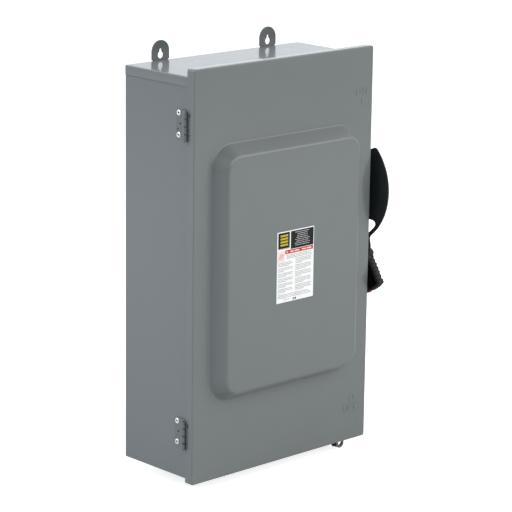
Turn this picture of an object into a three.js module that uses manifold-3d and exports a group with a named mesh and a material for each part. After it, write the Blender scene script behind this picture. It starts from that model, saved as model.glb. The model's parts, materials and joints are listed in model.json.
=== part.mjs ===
// A side-operated, fused disconnect box for a wall: a folded steel enclosure, a hinged door with a raised
// panel, an outside handle, and a three-pole blade switch with cartridge fuses inside.
// Units are millimetres. +Z is up, the door faces -Y, and the handle is on the +X side.
// The origin is on the wall plane, at the centre of the door's height and width.
import * as THREE from 'three';
import { mergeVertices } from 'three/addons/utils/BufferGeometryUtils.js';
import Module from 'manifold-3d';

const wasm = await Module();
wasm.setup();

// ---------------------------------------------------------------- driving dimensions
const SHEET = 1.5;                 // folded steel sheet
const GAP = 0.3;                   // clearance between pieces that touch on the real object

const DOOR = { width: 437, height: 743, front: -192, flange: 18 };
const BODY = { halfWidth: 210, bottom: -366, front: -186, lip: 12 };
const CAP = { top: 355.5, flange: 16.8, halfWidth: 211.8 };
const PANEL = { width: 358, height: 463, centreZ: 2.5, proud: 27.6, inset: 18, corner: 46 };
const LUG = { x: 131, width: 40, neck: 33, top: 392, thick: 3, bottom: 300 };
const HINGE = { x: -222.2, y: -172.7, knuckle: 13.2, pitch: 13.5, radius: 3.6, pin: 1.6 };
const HINGE_HEIGHTS = { upper: 271.5, lower: -282.5 };
const RIVET = { y: -145, halfPitch: 19.4, radius: 5.8, hole: 1.7, proud: 1.6 };
const LABEL = { width: 91, height: 130, x: 1, z: 1.5, thick: 0.4 };
const HANDLE = { y: -114, z: 100, inner: 231, thick: 3, rim: 111.4, gripEnd: 207 };
const POLES = { A: -105, B: -30, C: 45 };
const BASE = { left: -150, right: 90, depth: 34 };
const PIVOT = { y: -62, z: 60 };
const BLADE = { length: 115, width: 24, thick: 4, openAngle: 58 };
const FUSE = { y: -72, z: -85, radius: 25, body: 150, tab: 46, tabWidth: 34, tabThick: 5 };
const MECH = { left: 120, right: 206, front: -150, bottom: 20, top: 180 };
const KNOCKOUT = { radius: 32, y: -90, pitch: 110, recess: 8 };
const CATCH = { x: 187, bottom: 132, top: 168, back: -165 };
const HASP = { x: 173, y: -174, z: -382, radius: 9.5, hole: 4.8 };

const WALL_FACE = -SHEET;          // inner face of the back wall
const DOOR_INNER = DOOR.front + SHEET;
const DOOR_BACK = DOOR.front + DOOR.flange;
const rad = THREE.MathUtils.degToRad;

const COLOURS = {
  enamel: [0x7d8381, 0.35, 0.3],
  zinc: [0xd4d6d8, 0.3, 0.9],
  black: [0x14171a, 0.45, 0.3],
  rubber: [0x3a3738, 0.7, 0],
  red: [0xb01a1c, 0.4, 0],
  copper: [0xb87346, 0.35, 0.9],
  tin: [0xb9bcc0, 0.35, 0.9],
  moulding: [0x23211f, 0.6, 0],
  fibre: [0xc9b58c, 0.7, 0],
  brass: [0xb39250, 0.35, 0.9],
  clear: [0xcfe0e6, 0.1, 0],
  paper: [0xe9e8e4, 0.6, 0],
};

// ---------------------------------------------------------------- geometry helpers
const box = (x0, x1, y0, y1, z0, z1) => {
  const g = new THREE.BoxGeometry(Math.abs(x1 - x0), Math.abs(y1 - y0), Math.abs(z1 - z0));
  return g.translate((x0 + x1) / 2, (y0 + y1) / 2, (z0 + z1) / 2);
};

// A cylinder from a to b along one axis, its centre line through the other two coordinates.
function rod(axis, a, b, p, q, radius, sides = 16) {
  const g = new THREE.CylinderGeometry(radius, radius, Math.abs(b - a), sides);
  const mid = (a + b) / 2;
  if (axis === 'x') return g.rotateZ(-Math.PI / 2).translate(mid, p, q);
  if (axis === 'y') return g.translate(p, mid, q);
  return g.rotateX(Math.PI / 2).translate(p, q, mid);
}

// The shape is drawn in (x, y) and runs from z0 to z1.
function extrudeZ(shape, z0, z1, curveSegments = 8) {
  const g = new THREE.ExtrudeGeometry(shape, { depth: z1 - z0, bevelEnabled: false, curveSegments });
  return g.translate(0, 0, z0);
}

// The shape is drawn in (x, z) and runs from y = back towards the front.
function extrudeY(shape, back, front, curveSegments = 8) {
  const g = new THREE.ExtrudeGeometry(shape, { depth: back - front, bevelEnabled: false, curveSegments });
  return g.rotateX(Math.PI / 2).translate(0, back, 0);
}

// The shape is drawn in (y, z) and runs from x0 to x1.
function extrudeX(shape, x0, x1, curveSegments = 8) {
  const g = new THREE.ExtrudeGeometry(shape, { depth: x1 - x0, bevelEnabled: false, curveSegments });
  const turn = new THREE.Matrix4().set(0, 0, 1, x0, 1, 0, 0, 0, 0, 1, 0, 0, 0, 0, 0, 1);
  return g.applyMatrix4(turn);
}

function roundedRect(w, h, r, cx = 0, cz = 0) {
  const s = new THREE.Shape();
  const [x, z] = [cx - w / 2, cz - h / 2];
  s.moveTo(x + r, z);
  s.lineTo(x + w - r, z);
  s.absarc(x + w - r, z + r, r, -Math.PI / 2, 0);
  s.lineTo(x + w, z + h - r);
  s.absarc(x + w - r, z + h - r, r, 0, Math.PI / 2);
  s.lineTo(x + r, z + h);
  s.absarc(x + r, z + h - r, r, Math.PI / 2, Math.PI);
  s.lineTo(x, z + r);
  s.absarc(x + r, z + r, r, Math.PI, 1.5 * Math.PI);
  return s;
}

function polygon(points) {
  const s = new THREE.Shape();
  points.forEach(([u, v], i) => (i ? s.lineTo(u, v) : s.moveTo(u, v)));
  return s;
}

// A solid whose outline is the first rounded rectangle at y = back and the second at y = front.
function taperedPanel(back, front, first, second, steps = 6) {
  const loop = (size, y) => roundedRect(size.w, size.h, size.r, 0, PANEL.centreZ)
    .getPoints(steps).slice(0, -1).map((p) => [p.x, y, p.y]);
  const [a, b] = [loop(first, back), loop(second, front)];
  const n = a.length;
  const position = [...a, ...b, [0, back, PANEL.centreZ], [0, front, PANEL.centreZ]].flat();
  const index = [];
  for (let i = 0; i < n; i++) {
    const j = (i + 1) % n;
    index.push(i, j, n + j, i, n + j, n + i);
    index.push(j, i, 2 * n, n + i, n + j, 2 * n + 1);
  }
  const g = new THREE.BufferGeometry();
  g.setAttribute('position', new THREE.Float32BufferAttribute(position, 3));
  g.setIndex(index);
  return g;
}

function toSolid(geometry) {
  const g = geometry.clone();
  g.deleteAttribute('normal');
  g.deleteAttribute('uv');
  const merged = mergeVertices(g, 1e-4);
  return new wasm.Manifold(new wasm.Mesh({
    numProp: 3,
    vertProperties: new Float32Array(merged.attributes.position.array),
    triVerts: new Uint32Array(merged.index.array),
  }));
}

function toGeometry(solid) {
  const mesh = solid.getMesh();
  const g = new THREE.BufferGeometry();
  g.setAttribute('position', new THREE.BufferAttribute(new Float32Array(mesh.vertProperties), 3));
  g.setIndex(new THREE.BufferAttribute(new Uint32Array(mesh.triVerts), 1));
  return g;
}

// Joins the geometries in add, then cuts away those in cut.
function carve(add, cut = []) {
  let solid = toSolid(add[0]);
  for (const g of add.slice(1)) solid = solid.add(toSolid(g));
  for (const g of cut) solid = solid.subtract(toSolid(g));
  return toGeometry(solid);
}

const root = new THREE.Group();

function part(name, colour, geometry, place = [0, 0, 0]) {
  const [color, roughness, metalness] = COLOURS[colour];
  const flat = geometry.index ? geometry.toNonIndexed() : geometry;
  flat.computeVertexNormals();
  const mesh = new THREE.Mesh(flat, new THREE.MeshStandardMaterial({ color, roughness, metalness }));
  mesh.name = name;
  mesh.position.set(...place);
  root.add(mesh);
}

// ---------------------------------------------------------------- enclosure
function enclosure() {
  const side = BODY.halfWidth;
  const capBottom = CAP.top - CAP.flange;
  const sideTop = CAP.top - SHEET - GAP;
  const outer = box(-side, side, BODY.front, 0, BODY.bottom, sideTop);
  const hollow = box(-side + SHEET, side - SHEET, BODY.front - 1, WALL_FACE, BODY.bottom - 1, sideTop + 1);
  const backNotch = box(-side - 1, side + 1, WALL_FACE - GAP, 1, capBottom - GAP, sideTop + 1);
  const lips = [-1, 1].map((s) => box(s * (side - BODY.lip), s * (side - SHEET / 2),
    BODY.front, BODY.front + SHEET, BODY.bottom, sideTop));
  const shaftHole = rod('x', side - 5, side + 5, HANDLE.y, HANDLE.z, 14);
  const shell = carve([outer], [hollow, backNotch, shaftHole]);
  part('enclosure_wrap', 'enamel', carve([shell, ...lips]));

  const w = CAP.halfWidth;
  const capSolid = box(-w, w, BODY.front, 0, capBottom, CAP.top);
  const capHollow = box(-w + SHEET, w - SHEET, BODY.front - 1, WALL_FACE,
    capBottom - 1, CAP.top - SHEET);
  const slots = [-1, 1].map((s) => box(s * LUG.x - LUG.neck / 2 - GAP, s * LUG.x + LUG.neck / 2 + GAP,
    WALL_FACE - LUG.thick - 3 * GAP, WALL_FACE - 0.01, CAP.top - 5, CAP.top + 5));
  const lipHalf = side - BODY.lip - GAP;
  const dropLip = box(-lipHalf, lipHalf, BODY.front, BODY.front + SHEET,
    CAP.top - SHEET - 8, CAP.top - SHEET / 2);
  part('top_end_cap', 'enamel', carve([carve([capSolid], [capHollow, ...slots]), dropLip]));

  const floorTop = BODY.bottom + SHEET;
  const inner = side - SHEET - GAP;
  const columns = [-KNOCKOUT.pitch, 0, KNOCKOUT.pitch];
  const knockouts = columns.map((x) =>
    rod('z', floorTop - 5, floorTop + 5, x, KNOCKOUT.y, KNOCKOUT.radius, 32));
  const plate = box(-inner, inner, BODY.front + SHEET + GAP, WALL_FACE - GAP, BODY.bottom, floorTop);
  const upturns = [
    box(-inner, inner, WALL_FACE - GAP - SHEET, WALL_FACE - GAP, BODY.bottom, BODY.bottom + 16),
    box(-inner, inner, BODY.front + SHEET + GAP, BODY.front + 2 * SHEET + GAP,
      BODY.bottom, BODY.bottom + 16),
  ];
  part('bottom_end_wall', 'enamel', carve([plate, ...upturns], knockouts));
  const slug = carve([rod('z', BODY.bottom, floorTop, 0, 0, KNOCKOUT.radius - GAP, 32)],
    [rod('z', BODY.bottom - 1, BODY.bottom + 0.5, 0, 0, KNOCKOUT.radius - KNOCKOUT.recess, 32)]);
  columns.forEach((x, i) => part(`knockout_${i + 1}`, 'enamel', slug.clone(), [x, KNOCKOUT.y, 0]));
}

// A hanging tab: a rounded top, a necked waist at the cap, and a keyhole for the wall screw.
function hangingLug() {
  const s = new THREE.Shape();
  const half = LUG.width / 2;
  const neck = LUG.neck / 2;
  const waist = CAP.top + 2.5;
  s.moveTo(-neck, LUG.bottom);
  s.lineTo(neck, LUG.bottom);
  s.lineTo(neck, waist);
  s.lineTo(half, waist + 4);
  s.lineTo(half, LUG.top - half);
  s.absarc(0, LUG.top - half, half, 0, Math.PI);
  s.lineTo(-half, waist + 4);
  s.lineTo(-neck, waist);
  const keyhole = [
    rod('y', -10, 1, 0, CAP.top + 10, 6.5),
    rod('y', -10, 1, 0, CAP.top + 18.5, 2.9),
    box(-2.9, 2.9, -10, 1, CAP.top + 10, CAP.top + 18.5),
  ];
  const back = WALL_FACE - GAP;
  const rivetHoles = [-9, 9].map((x) => rod('y', -10, 1, x, LUG.bottom + 12, 3));
  return carve([extrudeY(s, back, back - LUG.thick, 8)], [...keyhole, ...rivetHoles]);
}

// ---------------------------------------------------------------- hinges
function hinge(place, z) {
  const bottom = -2 * HINGE.pitch;
  const knuckleZ = [0, 1, 2, 3].map((i) => bottom + i * HINGE.pitch + (HINGE.pitch - HINGE.knuckle) / 2);
  const bore = rod('z', -40, 40, HINGE.x, HINGE.y, HINGE.pin + GAP);
  const barrels = (which) => which.map((i) =>
    rod('z', knuckleZ[i], knuckleZ[i] + HINGE.knuckle, HINGE.x, HINGE.y, HINGE.radius));
  const skin = -BODY.halfWidth - GAP;
  const t = 1.4;
  // The body leaf lies on the side wall and steps out to the barrel.
  const step = polygon([[skin - t, -160], [skin, -160], [skin, -165], [HINGE.x + 1, HINGE.y + 1.6],
    [HINGE.x + 1, HINGE.y + 3.2]]);
  const steps = [1, 3].map((i) => extrudeZ(step, knuckleZ[i], knuckleZ[i] + HINGE.knuckle));
  const leafShape = new THREE.Shape();
  leafShape.moveTo(-161, bottom + GAP);
  leafShape.lineTo(-161, -bottom - GAP);
  leafShape.absarc(RIVET.y + 0.5, RIVET.halfPitch, -bottom - GAP - RIVET.halfPitch, Math.PI / 2, 0, true);
  leafShape.absarc(RIVET.y + 0.5, -RIVET.halfPitch, -bottom - GAP - RIVET.halfPitch, 0, -Math.PI / 2, true);
  const leaf = extrudeX(leafShape, skin - t, skin, 5);
  const rivetHoles = [-1, 1].map((s) => rod('x', skin - 5, skin + 5, RIVET.y, s * RIVET.halfPitch, 2.9));
  const smallHoles = [[-148.2, -5], [-142.5, -14]].map(([y, dz]) =>
    rod('x', skin - 5, skin + 5, y, dz, 1.2, 12));
  part(`hinge_body_leaf_${place}`, 'enamel',
    carve([leaf, ...steps, ...barrels([1, 3])], [bore, ...rivetHoles, ...smallHoles]), [0, 0, z]);

  // The door leaf turns round the back edge of the door's flange and lies inside it.
  const flangeInner = -DOOR.width / 2 + SHEET + GAP;
  const hook = polygon([[HINGE.x + 1, HINGE.y - 0.7], [flangeInner, HINGE.y - 0.7], [flangeInner, -188],
    [flangeInner + t, -188], [flangeInner + t, HINGE.y + 0.9], [HINGE.x + 1, HINGE.y + 0.9]]);
  const hooks = [0, 2].map((i) => extrudeZ(hook, knuckleZ[i], knuckleZ[i] + HINGE.knuckle));
  const plate = box(flangeInner, flangeInner + t, -188, DOOR_BACK + 0.5, bottom + GAP, -bottom - GAP);
  const doorLeaf = carve([plate, ...hooks, ...barrels([0, 2])], [bore]);
  part(`hinge_door_leaf_${place}`, 'enamel', doorLeaf, [0, 0, z]);
  const pin = rod('z', bottom - 0.5, -bottom + 0.5, HINGE.x, HINGE.y, HINGE.pin);
  part(`hinge_pin_${place}`, 'zinc', pin, [0, 0, z]);

  const headFace = skin - t - GAP;
  const rivet = carve([
    rod('x', headFace - RIVET.proud, headFace, 0, 0, RIVET.radius, 32),
    rod('x', headFace - 0.1, skin + 0.2, 0, 0, 2.5),
  ], [rod('x', headFace - 5, headFace - 0.4, 0, 0, RIVET.hole)]);
  part(`hinge_rivet_${place}_top`, 'zinc', rivet.clone(), [0, RIVET.y, z + RIVET.halfPitch]);
  part(`hinge_rivet_${place}_bottom`, 'zinc', rivet.clone(), [0, RIVET.y, z - RIVET.halfPitch]);
}

// ---------------------------------------------------------------- door
function door() {
  const [w, h] = [DOOR.width / 2, DOOR.height / 2];
  const tray = box(-w, w, DOOR.front, DOOR_BACK, -h, h);
  const trayHollow = box(-w + SHEET, w - SHEET, DOOR_INNER, DOOR_BACK + 1, -h + SHEET, h - SHEET);
  const ring = (shrink, r) => ({ w: PANEL.width - shrink, h: PANEL.height - shrink, r });
  const crown = DOOR.front - PANEL.proud;
  const outer = taperedPanel(DOOR.front + 0.5, crown, ring(0, PANEL.corner),
    ring(2 * PANEL.inset, PANEL.corner - PANEL.inset));
  const inner = taperedPanel(DOOR_INNER + 0.5, crown + SHEET, ring(2 * SHEET, PANEL.corner - SHEET),
    ring(2 * PANEL.inset + 2 * SHEET, PANEL.corner - PANEL.inset - SHEET));
  part('door_panel', 'enamel', carve([tray, outer], [trayHollow, inner]));

  const label = roundedRect(LABEL.width, LABEL.height, 1, LABEL.x, LABEL.z);
  part('rating_label', 'paper', extrudeY(label, crown - 0.05, crown - LABEL.thick, 3));
  const diagram = roundedRect(150, 200, 2, 0, 10);
  const diagramBack = crown + SHEET + 0.05;
  part('wiring_label', 'paper', extrudeY(diagram, diagramBack + LABEL.thick, diagramBack, 3));

  const catchFront = DOOR_INNER + GAP;
  part('interlock_catch', 'zinc', carve([
    box(CATCH.x, CATCH.x + 2, catchFront, CATCH.back, CATCH.bottom, CATCH.top),
    box(CATCH.x, CATCH.x + 14, catchFront, catchFront + 2, CATCH.bottom, CATCH.top),
  ], [box(CATCH.x - 1, CATCH.x + 3, CATCH.back - 13, CATCH.back - 4, CATCH.bottom + 10, CATCH.top - 10)]));

  // The hasp tab hangs from the back edge of the bottom flange, with a padlock hole.
  const tab = new THREE.Shape();
  const tabTop = BODY.bottom - 0.8;
  tab.moveTo(HASP.x + HASP.radius, tabTop);
  tab.lineTo(HASP.x - HASP.radius, tabTop);
  tab.lineTo(HASP.x - HASP.radius, HASP.z);
  tab.absarc(HASP.x, HASP.z, HASP.radius, Math.PI, 2 * Math.PI);

  const bodyTab = new THREE.Shape();
  bodyTab.moveTo(HASP.x + 9, BODY.bottom - GAP);
  bodyTab.lineTo(HASP.x - 9, BODY.bottom - GAP);
  bodyTab.lineTo(HASP.x - 9, HASP.z + 2);
  bodyTab.absarc(HASP.x, HASP.z + 2, 9, Math.PI, 2 * Math.PI);
  part('body_hasp', 'enamel', carve([
    extrudeY(bodyTab, HASP.y + 5.6, HASP.y + 3.4, 16),
    box(HASP.x - 9, HASP.x + 9, HASP.y + 3.4, HASP.y + 26, BODY.bottom - GAP - 2, BODY.bottom - GAP),
  ], [rod('y', HASP.y - 9, HASP.y + 9, HASP.x - 1.5, HASP.z + 1, HASP.hole)]));

  // A spring plunger beside the hasp snaps the door shut. It slides along X in its own guide.
  const ear = HASP.x - HASP.radius - 6;
  const [latchY, latchZ] = [HASP.y - 3, HASP.z + 2.2];
  const eye = rod('y', HASP.y - 9, HASP.y + 9, HASP.x, HASP.z, HASP.hole);
  part('door_hasp', 'enamel', carve([
    extrudeY(tab, HASP.y + 2.6, HASP.y + GAP, 16),
    box(ear - 1, HASP.x, HASP.y + GAP, HASP.y + 2.6, tabTop - 6, tabTop),
    box(ear - 1, ear + 1, HASP.y - 6.5, HASP.y + 2.6, HASP.z - 3, -h - GAP),
  ], [eye, rod('x', ear - 20, ear + 2, latchY, latchZ, 2.7)]));
  part('latch_plunger', 'black', carve([
    rod('x', ear - 6, ear + 5.2, latchY, latchZ, 2.4, 20),
    rod('x', ear - 8.5, ear - 5.5, latchY, latchZ, 3.2, 20),
  ]));
}

// ---------------------------------------------------------------- outside handle
// Handle outlines are drawn round the pivot. angle runs from straight down towards the door side (-Y).
const around = (angle, r) => [HANDLE.y - r * Math.sin(rad(angle)), HANDLE.z - r * Math.cos(rad(angle))];
const arcAngle = (angle) => rad(-90 - angle);

function handle() {
  const hub = 40;
  const tipRound = 8;
  const [py, pz] = [HANDLE.y, HANDLE.z];
  const plate = new THREE.Shape();
  plate.moveTo(...around(8, 150));
  plate.lineTo(...around(27, 150));
  plate.lineTo(...around(27, 130));
  plate.lineTo(...around(31, 124));
  plate.lineTo(...around(36, 114));
  plate.absarc(py, pz, HANDLE.rim, arcAngle(38), arcAngle(134), true);
  plate.absarc(...around(134, HANDLE.rim - tipRound), tipRound, arcAngle(134), arcAngle(214), true);
  plate.lineTo(...around(200, hub));
  plate.absarc(py, pz, hub, arcAngle(200), arcAngle(320), true);
  const window = new THREE.Shape();
  window.moveTo(py - 25, pz - 57);
  window.lineTo(py - 70, pz - 57);
  window.quadraticCurveTo(py - 82, pz - 58, ...around(49, HANDLE.rim - 7.4));
  window.absarc(py, pz, HANDLE.rim - 7.4, arcAngle(49), arcAngle(18), false);
  const x = HANDLE.inner;
  const bolt = rod('x', x - 8, x + 15, HANDLE.y, HANDLE.z, 6.4);
  part('handle_plate', 'black', carve([
    extrudeX(plate, x, x + HANDLE.thick, 14),
    rod('x', x - 6, x + HANDLE.thick, HANDLE.y, HANDLE.z, 24, 40),
  ], [extrudeX(window, x - 1, x + 5, 8), bolt]));

  // The grip is a flared moulding with finger ridges on its front edge and a pocket for the red insert.
  const [inner, outer] = [223.5, 238.5];
  const [ridges, firstRidge, ridgePitch] = [5, 148, 8.4];
  const grip = new THREE.Shape();
  grip.moveTo(...around(9, 122));
  grip.lineTo(...around(29, 122));
  grip.lineTo(...around(32.5, 137));
  grip.lineTo(...around(32.5, 141));
  grip.lineTo(...around(30.1, firstRidge));
  for (let i = 0; i < ridges; i++) {
    const r = firstRidge + i * ridgePitch;
    grip.quadraticCurveTo(...around(31.9, r + ridgePitch / 2), ...around(30.1, r + ridgePitch));
  }
  grip.lineTo(...around(31.7, HANDLE.gripEnd - 8));
  grip.lineTo(...around(29, HANDLE.gripEnd));
  grip.absarc(py, pz, HANDLE.gripEnd, arcAngle(29), arcAngle(9), false);
  const slotOutline = [around(0, 120), around(33.5, 120), around(32, 125), around(27.8, 131),
    around(27.8, 154), around(5, 154)];
  const slot = extrudeX(polygon(slotOutline), x - GAP, x + HANDLE.thick + GAP);
  const pocketOutline = (grow) => polygon([around(12 - grow, 145 - 2 * grow),
    around(26 + grow, 145 - 2 * grow), around(23 + grow, 196 + grow), around(12 - grow, 196 + grow)]);
  part('handle_grip', 'rubber', carve([extrudeX(grip, inner, outer, 6)],
    [slot, extrudeX(pocketOutline(GAP), x + 5.6, outer + 1)]));
  part('handle_grip_insert', 'red', extrudeX(pocketOutline(0), x + 5.6 + GAP, outer + 2));

  const boltBase = x + HANDLE.thick + GAP;
  part('handle_bolt', 'zinc', rod('x', boltBase, boltBase + 6.7, HANDLE.y, HANDLE.z, 10, 6));
  const wall = BODY.halfWidth;
  const shaftRadius = 9;
  part('handle_shaft', 'zinc', carve([
    rod('x', 178, x - 6 - GAP, HANDLE.y, HANDLE.z, shaftRadius),
    rod('x', x - 7, x + HANDLE.thick + GAP / 2, HANDLE.y, HANDLE.z, 6),
  ]));
  const crank = polygon([[HANDLE.y - 16, HANDLE.z - 10], [HANDLE.y - 16, HANDLE.z + 10],
    [HANDLE.y + 14, HANDLE.z + 14], [HANDLE.y + 44, HANDLE.z + 7], [HANDLE.y + 44, HANDLE.z - 7],
    [HANDLE.y + 14, HANDLE.z - 14]]);
  part('drive_crank', 'zinc', carve([
    extrudeX(crank, 186, 191), rod('x', 174, 187, HANDLE.y + 36, HANDLE.z, 4),
  ], [rod('x', 170, 200, HANDLE.y, HANDLE.z, shaftRadius + GAP)]));

  const plateX = [wall + GAP, wall + GAP + 2.5];
  const hasp = [around(12, 56), around(42, 56), around(42, 96), around(12, 96)];
  part('handle_bearing_plate', 'black', carve([
    extrudeX(roundedRect(86, 130, 12, HANDLE.y, HANDLE.z), ...plateX),
    rod('x', plateX[0], wall + 11, HANDLE.y, HANDLE.z, 16, 32),
    extrudeX(polygon(hasp), ...plateX),
  ], [rod('x', wall - 5, wall + 15, HANDLE.y, HANDLE.z, shaftRadius + GAP),
    rod('x', wall - 5, wall + 15, ...around(28, 86), 5),
    ...[[-32, -52], [32, -52], [-32, 52], [32, 52]].map(([dy, dz]) =>
      rod('x', wall - 5, wall + 15, HANDLE.y + dy, HANDLE.z + dz, 2.6, 16))]));
}

// ---------------------------------------------------------------- mechanism
function mechanism() {
  const t = 2;
  const back = WALL_FACE - GAP;
  const right = MECH.right;
  const [springX, springY, springZ, rodLength] = [152, -40, MECH.bottom + 10, 96];
  const lever = { y: -138, z: 150 };
  part('mechanism_housing', 'zinc', carve([
    box(MECH.left, right, back - t, back, MECH.bottom, MECH.top),
    box(MECH.left, MECH.left + t, MECH.front, back, MECH.bottom, MECH.top),
    box(right - t, right, MECH.front, back, MECH.bottom, MECH.top),
    box(springX - 11, springX + 11, springY - 4, back, springZ - 4, springZ),
    rod('z', springZ - 1, springZ + rodLength, springX, springY, 3),
    rod('x', 183.3, right - 1, lever.y, lever.z, 5),
    rod('x', 178, 184, lever.y, lever.z, 2.5),
  ], [
    rod('x', right - 5, right + 5, HANDLE.y, HANDLE.z, 9 + GAP),
    rod('x', MECH.left - 5, MECH.left + 5, PIVOT.y, PIVOT.z, 6 + GAP),
  ]));
  part('drive_spring', 'moulding', carve([
    rod('z', GAP, rodLength - 14, 0, 0, 8.5, 24)], [rod('z', -1, rodLength, 0, 0, 4.5)]),
  [springX, springY, springZ]);

  const hook = new THREE.Shape();
  hook.absarc(lever.y, lever.z, 9, rad(60), rad(250), true);
  hook.lineTo(lever.y - 26, lever.z - 14);
  hook.lineTo(lever.y - 38, lever.z - 2);
  hook.lineTo(lever.y - 32, lever.z + 4);
  hook.lineTo(lever.y - 24, lever.z - 4);
  hook.closePath();
  part('interlock_lever', 'zinc', carve([extrudeX(hook, 180, 182.7)],
    [rod('x', 170, 190, lever.y, lever.z, 2.5 + GAP)]));
}

// ---------------------------------------------------------------- switch and fuses
function poles() {
  const back = WALL_FACE - GAP;
  const baseFront = back - BASE.depth;
  const metalBack = baseFront - GAP;
  part('line_base', 'moulding', carve([
    box(BASE.left, BASE.right, baseFront, back, 168, 300),
  ], [box(BASE.left + 12, BASE.right - 12, baseFront + 12, back + 1, 180, 288)]));
  part('fuse_base', 'moulding', carve([
    box(BASE.left, BASE.right, baseFront, back, -262, 82),
  ], [box(BASE.left + 12, BASE.right - 12, baseFront + 12, back + 1, -250, 70)]));

  const half = BLADE.thick / 2;
  const tabTop = FUSE.z + FUSE.body / 2 + FUSE.tab;
  const tabBottom = FUSE.z - FUSE.body / 2 - FUSE.tab;
  const finger = (side, gap, t, y0, y1, z0, z1) => box(side * gap, side * (gap + t), y0, y1, z0, z1);
  const lugBlock = (z) => [box(-15, 15, metalBack - 34, metalBack, z, z + 32)];
  const lugHoles = (z) => [
    rod('z', z - 1, z + 33, 0, metalBack - 20, 9.5),
    rod('y', metalBack - 40, metalBack - 28, 0, z + 16, 6, 6),
  ];

  // Line lug, its strap down the base, and the jaw that takes the blade.
  const lineLug = carve([
    ...lugBlock(262),
    box(-13, 13, metalBack - 3, metalBack, 174, 263),
    ...[-1, 1].map((s) => finger(s, half + GAP, 2.4, PIVOT.y - 14, metalBack, 158, 186)),
    box(-half - 2.6, half + 2.6, metalBack - 4, metalBack, 174, 186),
  ], lugHoles(262));

  const shield = carve([box(-29, 29, -112, metalBack - 4, 152, 226)],
    [box(-26, 26, -113, metalBack, 151, 222), box(-16, 16, -60, metalBack, 220, 230)]);

  // The blade's ears, a strap, and the upper fuse clip are one piece.
  const tabHalf = FUSE.tabThick / 2;
  const hingeClip = carve([
    box(-13, 13, metalBack - 3, metalBack, 4, 78),
    ...[-1, 1].map((s) => finger(s, half + GAP, 3, PIVOT.y - 12, metalBack, 48, 72)),
    ...[-1, 1].map((s) => finger(s, tabHalf + GAP, 2.4, FUSE.y - 12, metalBack, 6, tabTop - 4)),
  ], [rod('x', -20, 20, PIVOT.y, PIVOT.z, 3.4, 20)]);
  const loadLug = carve([
    ...lugBlock(-256),
    box(-13, 13, metalBack - 3, metalBack, -230, tabBottom + 44),
    ...[-1, 1].map((s) => finger(s, tabHalf + GAP, 2.4, FUSE.y - 12, metalBack,
      tabBottom + 4, tabBottom + 40)),
  ], lugHoles(-256));

  const { y: fy, z: fz, radius, body } = FUSE;
  const fuse = carve([
    rod('z', fz - body / 2, fz + body / 2, 0, fy, radius, 24),
    rod('z', fz - body / 2 - 1, fz - body / 2 + 22, 0, fy, radius + 1, 24),
    rod('z', fz + body / 2 - 22, fz + body / 2 + 1, 0, fy, radius + 1, 24),
    box(-tabHalf, tabHalf, fy - FUSE.tabWidth / 2, fy + FUSE.tabWidth / 2, tabBottom, tabTop),
  ], [tabTop - 14, tabBottom + 14].map((z) => rod('x', -6, 6, fy, z, 4.5)));

  // The blade is drawn pointing straight up and turned to its open position.
  const bladeShape = new THREE.Shape();
  bladeShape.absarc(0, 0, BLADE.width / 2 - 2, Math.PI, 2 * Math.PI);
  bladeShape.lineTo(BLADE.width / 2, BLADE.length - 14);
  bladeShape.lineTo(BLADE.width / 2 - 7, BLADE.length);
  bladeShape.lineTo(-BLADE.width / 2 + 2, BLADE.length);
  const swing = new THREE.Matrix4().makeRotationX(rad(BLADE.openAngle));
  const turned = (g) => g.applyMatrix4(swing).translate(0, PIVOT.y, PIVOT.z);
  const blade = carve([
    turned(extrudeX(bladeShape, -half, half)),
    rod('x', -half - GAP - 3.8, half + GAP + 3.8, PIVOT.y, PIVOT.z, 3, 20),
  ]);

  for (const [pole, x] of Object.entries(POLES)) {
    part(`line_lug_${pole}`, 'tin', lineLug.clone(), [x, 0, 0]);
    part(`arc_shield_${pole}`, 'fibre', shield.clone(), [x, 0, 0]);
    part(`hinge_clip_${pole}`, 'copper', hingeClip.clone(), [x, 0, 0]);
    part(`load_lug_${pole}`, 'tin', loadLug.clone(), [x, 0, 0]);
    part(`fuse_${pole}`, 'fibre', fuse.clone(), [x, 0, 0]);
    part(`blade_${pole}`, 'copper', blade.clone(), [x, 0, 0]);
  }

  // A moulded bar ties the blades together; its arm carries the stub shaft the mechanism turns.
  const barDistance = 52;
  const [barLeft, barRight] = [POLES.A - 20, 116];
  const slots = Object.values(POLES).map((x) => turned(box(x - half - GAP, x + half + GAP,
    -BLADE.width / 2 - GAP, 30, barDistance - 20, barDistance + 20)));
  part('crossbar', 'moulding', carve([
    turned(box(barLeft, barRight, -BLADE.width / 2 - 9, 4, barDistance - 9, barDistance + 9)),
    turned(box(104, barRight, -10, 10, -10, barDistance + 9)),
    rod('x', barRight - 1, MECH.left + 8, PIVOT.y, PIVOT.z, 6),
  ], slots));

  const cover = (x0, x1) => box(x0, x1, -121, back, 176, 312);
  part('line_shield', 'clear', carve([cover(BASE.left - 4, BASE.right + 4)],
    [box(BASE.left - 2, BASE.right + 2, -119, 1, 175, 313)]));
}

function bars() {
  const back = WALL_FACE - GAP;
  const neutralX = [-198, -168];
  part('neutral_block', 'moulding', box(...neutralX, back - 24, back, -150, -30));
  const barFront = back - 24 - GAP;
  const holes = (x, y, from, count, pitch, r, axis) => Array.from({ length: count }, (_, i) =>
    rod(axis, x - 30, x + 30, y, from + i * pitch, r, 16));
  part('neutral_bar', 'tin', carve([box(-193, -173, barFront - 16, barFront, -140, -40)],
    [...holes(-183, barFront - 9, -125, 5, 17.5, 5, 'x')]));
  const screws = [-1, 0, 1, 2].map((i) => rod('y', back - 20, back - 9, 95 + i * 16, -318, 3, 12));
  part('ground_bar', 'tin', carve([box(66, 140, back - 14, back, -326, -310)], screws));
}

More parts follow.
